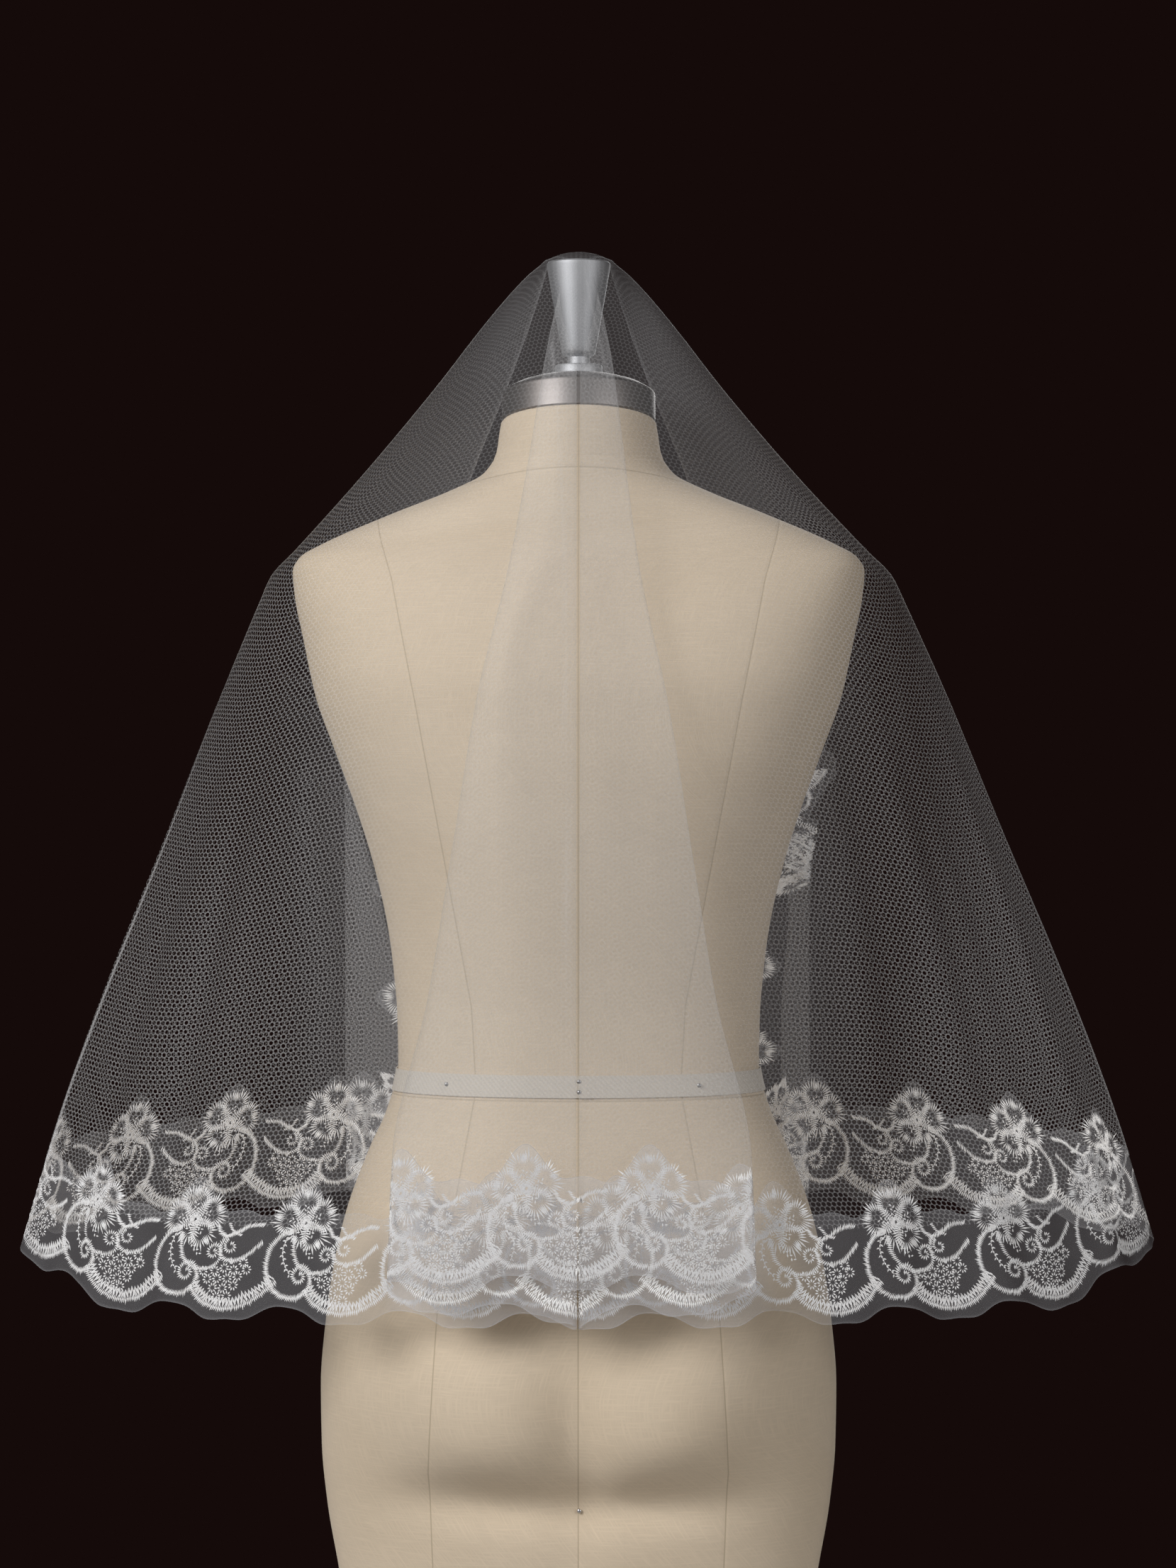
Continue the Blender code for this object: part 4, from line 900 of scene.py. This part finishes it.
GROUND_OUT, GROUND_STEP, GROUND_ROWS = 0.45, 2.4, 15
found = []
for part in sides:
    along = np.linspace(0.0, part.length, int(part.length / GROUND_STEP))
    lower, upper = ground_edges(along * part.sign)
    up = lower + (upper - lower) * np.linspace(0.0, 1.0, GROUND_ROWS)[:, None]
    spots = np.broadcast_to(along, up.shape)
    surface = border_map(part, spots.ravel(), up.ravel(), GROUND_OUT).reshape(*up.shape, 3)
    found.append((surface, np.stack([spots * part.sign, up], axis=-1) * MM))
surface, flat = (joined(*pair) for pair in zip(*found))
ground, row, column = laid_grid("lace_ground", surface, flat)
rim = np.zeros(surface.shape[:2])
rim[[0, -1]] = 1.0
write_values(ground, "rim", rim[row, column])
bpy.ops.object.shade_smooth()

# Polyester organza: plain weave so fine that it shows as an even haze, with a faint blue cast. Its cut
# edges are a little denser, and so are the pleat's layers, which lie crumpled on each other.
organza, tree, shader = finish("polyester_organza", "#D0D0D4", 0.5, Sheen_Weight=0.25)
cut = add_node(tree, "UVMap", {"uv_map": "cut"})
haze = add_node(tree, "TexNoise", inputs={"Vector": cut["UV"], "Scale": 35.0, "Detail": 4.0})
grain = add_node(tree, "TexNoise", inputs={"Vector": cut["UV"], "Scale": 1100.0, "Detail": 1.0})
edges = add_node(tree, "Attribute", {"attribute_name": "rim"})
sharp = add_node(tree, "Math", {"operation": "POWER"}, {0: edges["Fac"], 1: 6.0})
crumpled = off_centre(tree, 0.114, 0.13, 0.14, 0.0)
cover = 0.078  # how much one layer hides of what is behind it
for pattern, most in ((haze["Fac"], 0.06), (grain["Fac"], 0.04), (sharp[0], 0.16), (crumpled, 1.0)):
    cover = add_node(tree, "Math", {"operation": "MULTIPLY_ADD"}, {0: pattern, 1: most, 2: cover})[0]
connect(tree, shader, {"Alpha": cover})
dress(ground, organza, "white_lace", "lace_back", "lace_front_left", "lace_front_right")

# The embroidery: white rayon satin stitch, worked by machine through the ground, one motif every 81 mm.
# Each motif has a five-petalled flower, two scrolls, a barbed stem, a leaf, a cluster of small florets and
# a scalloped edge with tall teeth. Each stitch is a separate low ridge of thread.

THREAD_OUT, STITCH_HIGH, STITCH_HALF = 0.55, 0.32, 0.54
rng = np.random.default_rng(11)


def curve(points, step):
    """Points a step apart on a smooth line through these, with the directions to its left."""
    points = np.array(points, float)
    ends = np.vstack([2 * points[0] - points[1], points, 2 * points[-1] - points[-2]])
    found = []
    for p0, p1, p2, p3 in zip(ends, ends[1:], ends[2:], ends[3:]):
        t = np.linspace(0.0, 1.0, 24, endpoint=False)[:, None]
        square, cube = 2 * p0 - 5 * p1 + 4 * p2 - p3, 3 * p1 - 3 * p2 + p3 - p0
        found.append(0.5 * (2 * p1 + (p2 - p0) * t + square * t**2 + cube * t**3))
    line = np.vstack([*found, points[-1:]])
    run = np.pad(np.linalg.norm(np.diff(line, axis=0), axis=1).cumsum(), (1, 0))
    at = np.linspace(0.0, run[-1], max(2, round(run[-1] / step) + 1))
    even = np.stack([np.interp(at, run, line[:, i]) for i in (0, 1)], axis=1)
    ahead = np.gradient(even, axis=0)
    ahead /= np.maximum(np.linalg.norm(ahead, axis=1, keepdims=True), 1e-9)
    return even, np.stack([-ahead[:, 1], ahead[:, 0]], axis=1)


def satin(points, step, left, right, slant=0.25):
    """Satin stitches across a line, with their reach to its left and right as a number or (start, end)."""
    even, normal = curve(points, step)
    share = np.linspace(0.0, 1.0, len(even))[:, None]
    sizes = [(np.atleast_1d(v)[0] * (1 - share) + np.atleast_1d(v)[-1] * share) for v in (left, right)]
    ahead = np.stack([normal[:, 1], -normal[:, 0]], axis=1)
    reach = 1 + 0.14 * rng.standard_normal((len(even), 2))
    start = even - normal * sizes[1] * reach[:, :1] - ahead * slant * sizes[1]
    end = even + normal * sizes[0] * reach[:, 1:] + ahead * slant * sizes[0]
    return np.hstack([start, end])


def spiral(centre, radius, start, turns, steps=14):
    """Points that wind in from a radius about a centre."""
    t = np.linspace(0.0, 1.0, steps)
    angle = math.radians(start) + turns * 2 * math.pi * t
    r = radius * (1 - 0.78 * t)
    return [(centre[0] + a * math.cos(b), centre[1] + a * math.sin(b)) for a, b in zip(r, angle)]


def zigzag(points, step, height, side=1.0):
    """Tall open teeth on one side of a line."""
    even, normal = curve(points, step)
    high = even + normal * side * height * (1 + 0.12 * rng.standard_normal((len(even), 1)))
    middle = (high[:-1] + high[1:]) / 2
    return np.vstack([np.hstack([even[:-1], middle]), np.hstack([middle, even[1:]])])


def heading(turn):
    """A direction at so many degrees, and the one to its left."""
    a = math.radians(turn)
    return np.array([math.cos(a), math.sin(a)]), np.array([-math.sin(a), math.cos(a)])


def rays(x, up, inner, outer, turns):
    """Straight stitches out from a point, from one distance to another, at these degrees."""
    ways = np.array([heading(turn)[0] for turn in turns])
    return np.hstack([ways * inner, ways * outer]) + [x, up, x, up]


def in_turn(line):
    """A column with 1 and -1 in turn, for the points of a line."""
    return np.where(np.arange(len(line)) % 2 == 0, 1.0, -1.0)[:, None]


# Each petal's direction, length and width, and its outline as shares of them.
PETALS = ((96, 17.0, 8.2), (170, 17.5, 7.6), (24, 17.5, 7.6), (-50, 15.0, 7.0), (238, 11.0, 5.6))
PETAL = (
    (0.12, -0.1), (0.4, -0.62), (0.72, -0.95), (0.98, -0.62), (0.93, 0.0),
    (1.0, 0.6), (0.74, 0.95), (0.4, 0.62), (0.12, 0.1),
)  # fmt: skip
FLORETS = (
    (22, 31.5), (28.5, 33.5), (35, 32.5), (17.5, 26), (24.5, 26.5), (31.5, 27), (38.5, 28.5), (22.5, 20.5),
    (29.5, 20.5), (36.5, 22.5), (44, 33), (13.5, 31), (41, 37.5), (33, 15.5), (26, 14.8),
)  # fmt: skip


def motif():
    """All stitches of one repeat, as (x, up, x, up) in millimetres from the middle of its flower."""
    stitches = []
    heart = np.array([0.0, 64.0])
    for turn, long, wide in PETALS:
        ahead, left = heading(turn)
        even, normal = curve([heart + ahead * p * long + left * q * wide * 0.86 for p, q in PETAL], 1.15)
        away = even - (heart + ahead * long * 0.45)
        away /= np.linalg.norm(away, axis=1, keepdims=True)
        out = -normal * 0.55 + away * 0.45
        far = np.clip(((even - heart) @ ahead) / long, 0.0, 1.0)[:, None]
        size = (3.2 + 4.0 * far) * (1 + 0.16 * rng.standard_normal((len(even), 1)))
        stitches.append(np.hstack([even - out * 0.8, even + out * size]))
        ray, _ = curve([heart + ahead * 2.0, heart + ahead * long * 0.62], 1.5)
        stitches.append(np.hstack([ray, ray + in_turn(ray) * left * 2.0 + ahead * 1.8]))
    stitches.append(rays(*heart, 1.0, 4.2, np.arange(0.0, 360.0, 24.0)))
    # The large scroll: out of the flower, down to the left, round and up into a small spiral.
    large = [(-8, 58), (-16, 54), (-21.5, 46), (-22.5, 35), (-19, 25), (-11, 18.5), (-1, 17.5), (6, 22)]
    stitches.append(satin([*large, (7.5, 29)], 1.05, 0.8, (3.6, 4.0)))
    stitches.append(satin([(7.5, 29), *spiral((0.5, 30.0), 6.4, 8.0, 1.25)], 1.2, (1.0, 1.2), (3.2, 2.2)))
    # The barbed stem inside it.
    stem, normal = curve([(-12, 55), (-14, 46), (-11.5, 37), (-7, 31)], 2.3)
    stitches.append(np.hstack([stem[:-1], stem[1:]]))
    back_way = np.gradient(stem, axis=0) * 0.55
    stitches.append(np.hstack([stem, stem + normal * in_turn(stem) * 2.3 + back_way]))
    # The second scroll: under the flower and right, into its own spiral.
    second = [(-6, 55), (-5, 46), (-1, 38.5), (7, 34), (16, 34), (22.5, 38), (23, 44)]
    stitches.append(satin(second, 1.2, 0.6, (3.6, 2.8)))
    stitches.append(satin([(23, 44), *spiral((18.5, 43.5), 4.6, 6.0, 1.2)], 1.2, (0.8, 0.9), (2.8, 2.0)))
    sprig, _ = curve([(-3, 52), (3, 46), (7, 42)], 1.7)
    stitches.append(np.hstack([sprig, sprig + np.where(in_turn(sprig) > 0, [2.4, 0.3], [0.2, -2.4])]))
    # The leaf: two feathered arms and a coil where they part.
    upper = [(18, 61), (21, 56), (27, 53.5), (34, 56), (42, 60.5), (51, 61.5)]
    stitches.append(satin(upper, 1.25, 2.8, 1.0, 0.7))
    stitches.append(satin([(27, 62), (31, 57), (36, 55)], 1.25, 1.6, 1.0, 0.6))
    lower = [(27, 53), (24, 47), (26, 41.5), (33, 39.5), (42, 43), (51.5, 52)]
    stitches.append(satin(lower, 1.25, 0.8, 3.0, 0.5))
    stitches.append(satin(spiral((30.5, 48.0), 4.2, 120.0, 0.95, 10), 1.15, 0.8, 2.2))
    # The florets: a cluster of small eyelets, each a ring of short stitches.
    for x, up in FLORETS:
        stitches.append(rays(x, up, 1.2, 3.7, np.arange(0.0, 360.0, 40.0) + rng.uniform(0, 40)))
    stitches.append(rays(33, 36, 0.0, 5.0, (70.0, 100.0, 130.0)))
    # The scalloped edge: a firm satin line with tall open teeth above it.
    edge = [(6.5, 22), (12, 15.5), (21, 10.8), (31, 8.6), (42, 10.2), (52, 15.5), (60, 23), (64, 27)]
    stitches.append(satin(edge, 1.2, 1.0, 3.6, 0.1))
    stitches.append(zigzag(edge, 2.7, 6.6))
    stitches.append(satin(edge, 2.1, 2.6, 0.4, 0.1))
    return np.vstack(stitches)


def sewn_at(along, up, out):
    """Points on the border at places along it, which are below 0 to the left of the back's centre."""
    left, right = (border_map(part, np.clip(along * part.sign, 0.0, None), up, out) for part in sides)
    return np.where((along < 0)[:, None], left, right)


def sew(name, start, end):
    """The stitches of a stretch of the border between two places along it, each with six small faces."""
    found = []
    for n in range(math.floor(start / LACE_REPEAT) - 1, math.ceil(end / LACE_REPEAT) + 2):
        one = motif()
        one[:, [0, 2]] += FLOWER + n * LACE_REPEAT
        found.append(one)
    lines = np.vstack(found)
    along, up = lines[:, [0, 2]], np.clip(lines[:, [1, 3]], 0.6, 92.0)
    middle = along.mean(1)
    whole = (along.min(1) > 0.5 - sides[0].length) & (along.max(1) < sides[1].length - 0.5)
    use = (middle >= start) & (middle < end) & whole
    along, up = along[use], up[use]
    a = sewn_at(along[:, 0], up[:, 0], THREAD_OUT)
    b = sewn_at(along[:, 1], up[:, 1], THREAD_OUT)
    m = sewn_at(along.mean(1), up.mean(1), THREAD_OUT)
    top = sewn_at(along.mean(1), up.mean(1), THREAD_OUT + STITCH_HIGH)
    out = top - m
    out /= np.linalg.norm(out, axis=1, keepdims=True)
    long = b - a
    size = np.linalg.norm(long, axis=1)
    good = (size > 0.4) & (size < 14.0)
    a, b, m, top, out, long = (v[good] for v in (a, b, m, top, out, long))
    wide = np.cross(out, long)
    wide *= STITCH_HALF / np.maximum(np.linalg.norm(wide, axis=1, keepdims=True), 1e-9)
    corners = np.stack([a, b, m + wide, m - wide, top], axis=1)
    faces = np.array([(0, 2, 4), (0, 4, 3), (0, 3, 2), (1, 4, 2), (1, 3, 4), (1, 2, 3)])
    count = len(corners)
    faces = (faces[None] + 5 * np.arange(count)[:, None, None]).reshape(-1, 3)
    mesh = bpy.data.meshes.new(name)
    mesh.from_pydata((corners.reshape(-1, 3) * MM).tolist(), [], faces.tolist())
    made = bpy.data.objects.new(name, mesh)
    bpy.context.scene.collection.objects.link(made)
    # each stitch's random share between the thread's painted shade and its painted highlight
    write_values(made, "painted_highlight_share", np.repeat(rng.uniform(0.0, 1.0, count), 5))
    return made


# Rayon thread: bright and slightly bluish in the light, warm where it turns away; each stitch differs. That
# difference is painted light: each stitch gets, at random, a tint between a warm white of painted shade and
# a pure white of painted highlight.
rayon, tree, shader = finish("white_rayon_thread", "#F8F8F9", 0.36, Sheen_Weight=0.4)
painted_highlight_share = add_node(tree, "Attribute", {"attribute_name": "painted_highlight_share"})
# the warm white is painted shade and the pure white is painted highlight
shaded_and_lit_whites = {6: linear("#F0EDEB"), 7: linear("#FFFFFF")}
tone = add_node(tree, "Mix", {"data_type": "RGBA"}, {0: painted_highlight_share["Fac"], **shaded_and_lit_whites})
connect(tree, shader, {"Base Color": tone[2]})

creases = [part.hem_length - float(np.interp(5.0, part.k, part.from_edge[-1])) for part in sides]
for name, start, end in (
    ("embroidery_front_left", -sides[0].length, -creases[0]),
    ("embroidery_back_left", -creases[0], 0.0),
    ("embroidery_back_right", 0.0, creases[1]),
    ("embroidery_front_right", creases[1], sides[1].length),
):
    piece = sew(name, start, end)
    dress(piece, rayon, "white_lace")
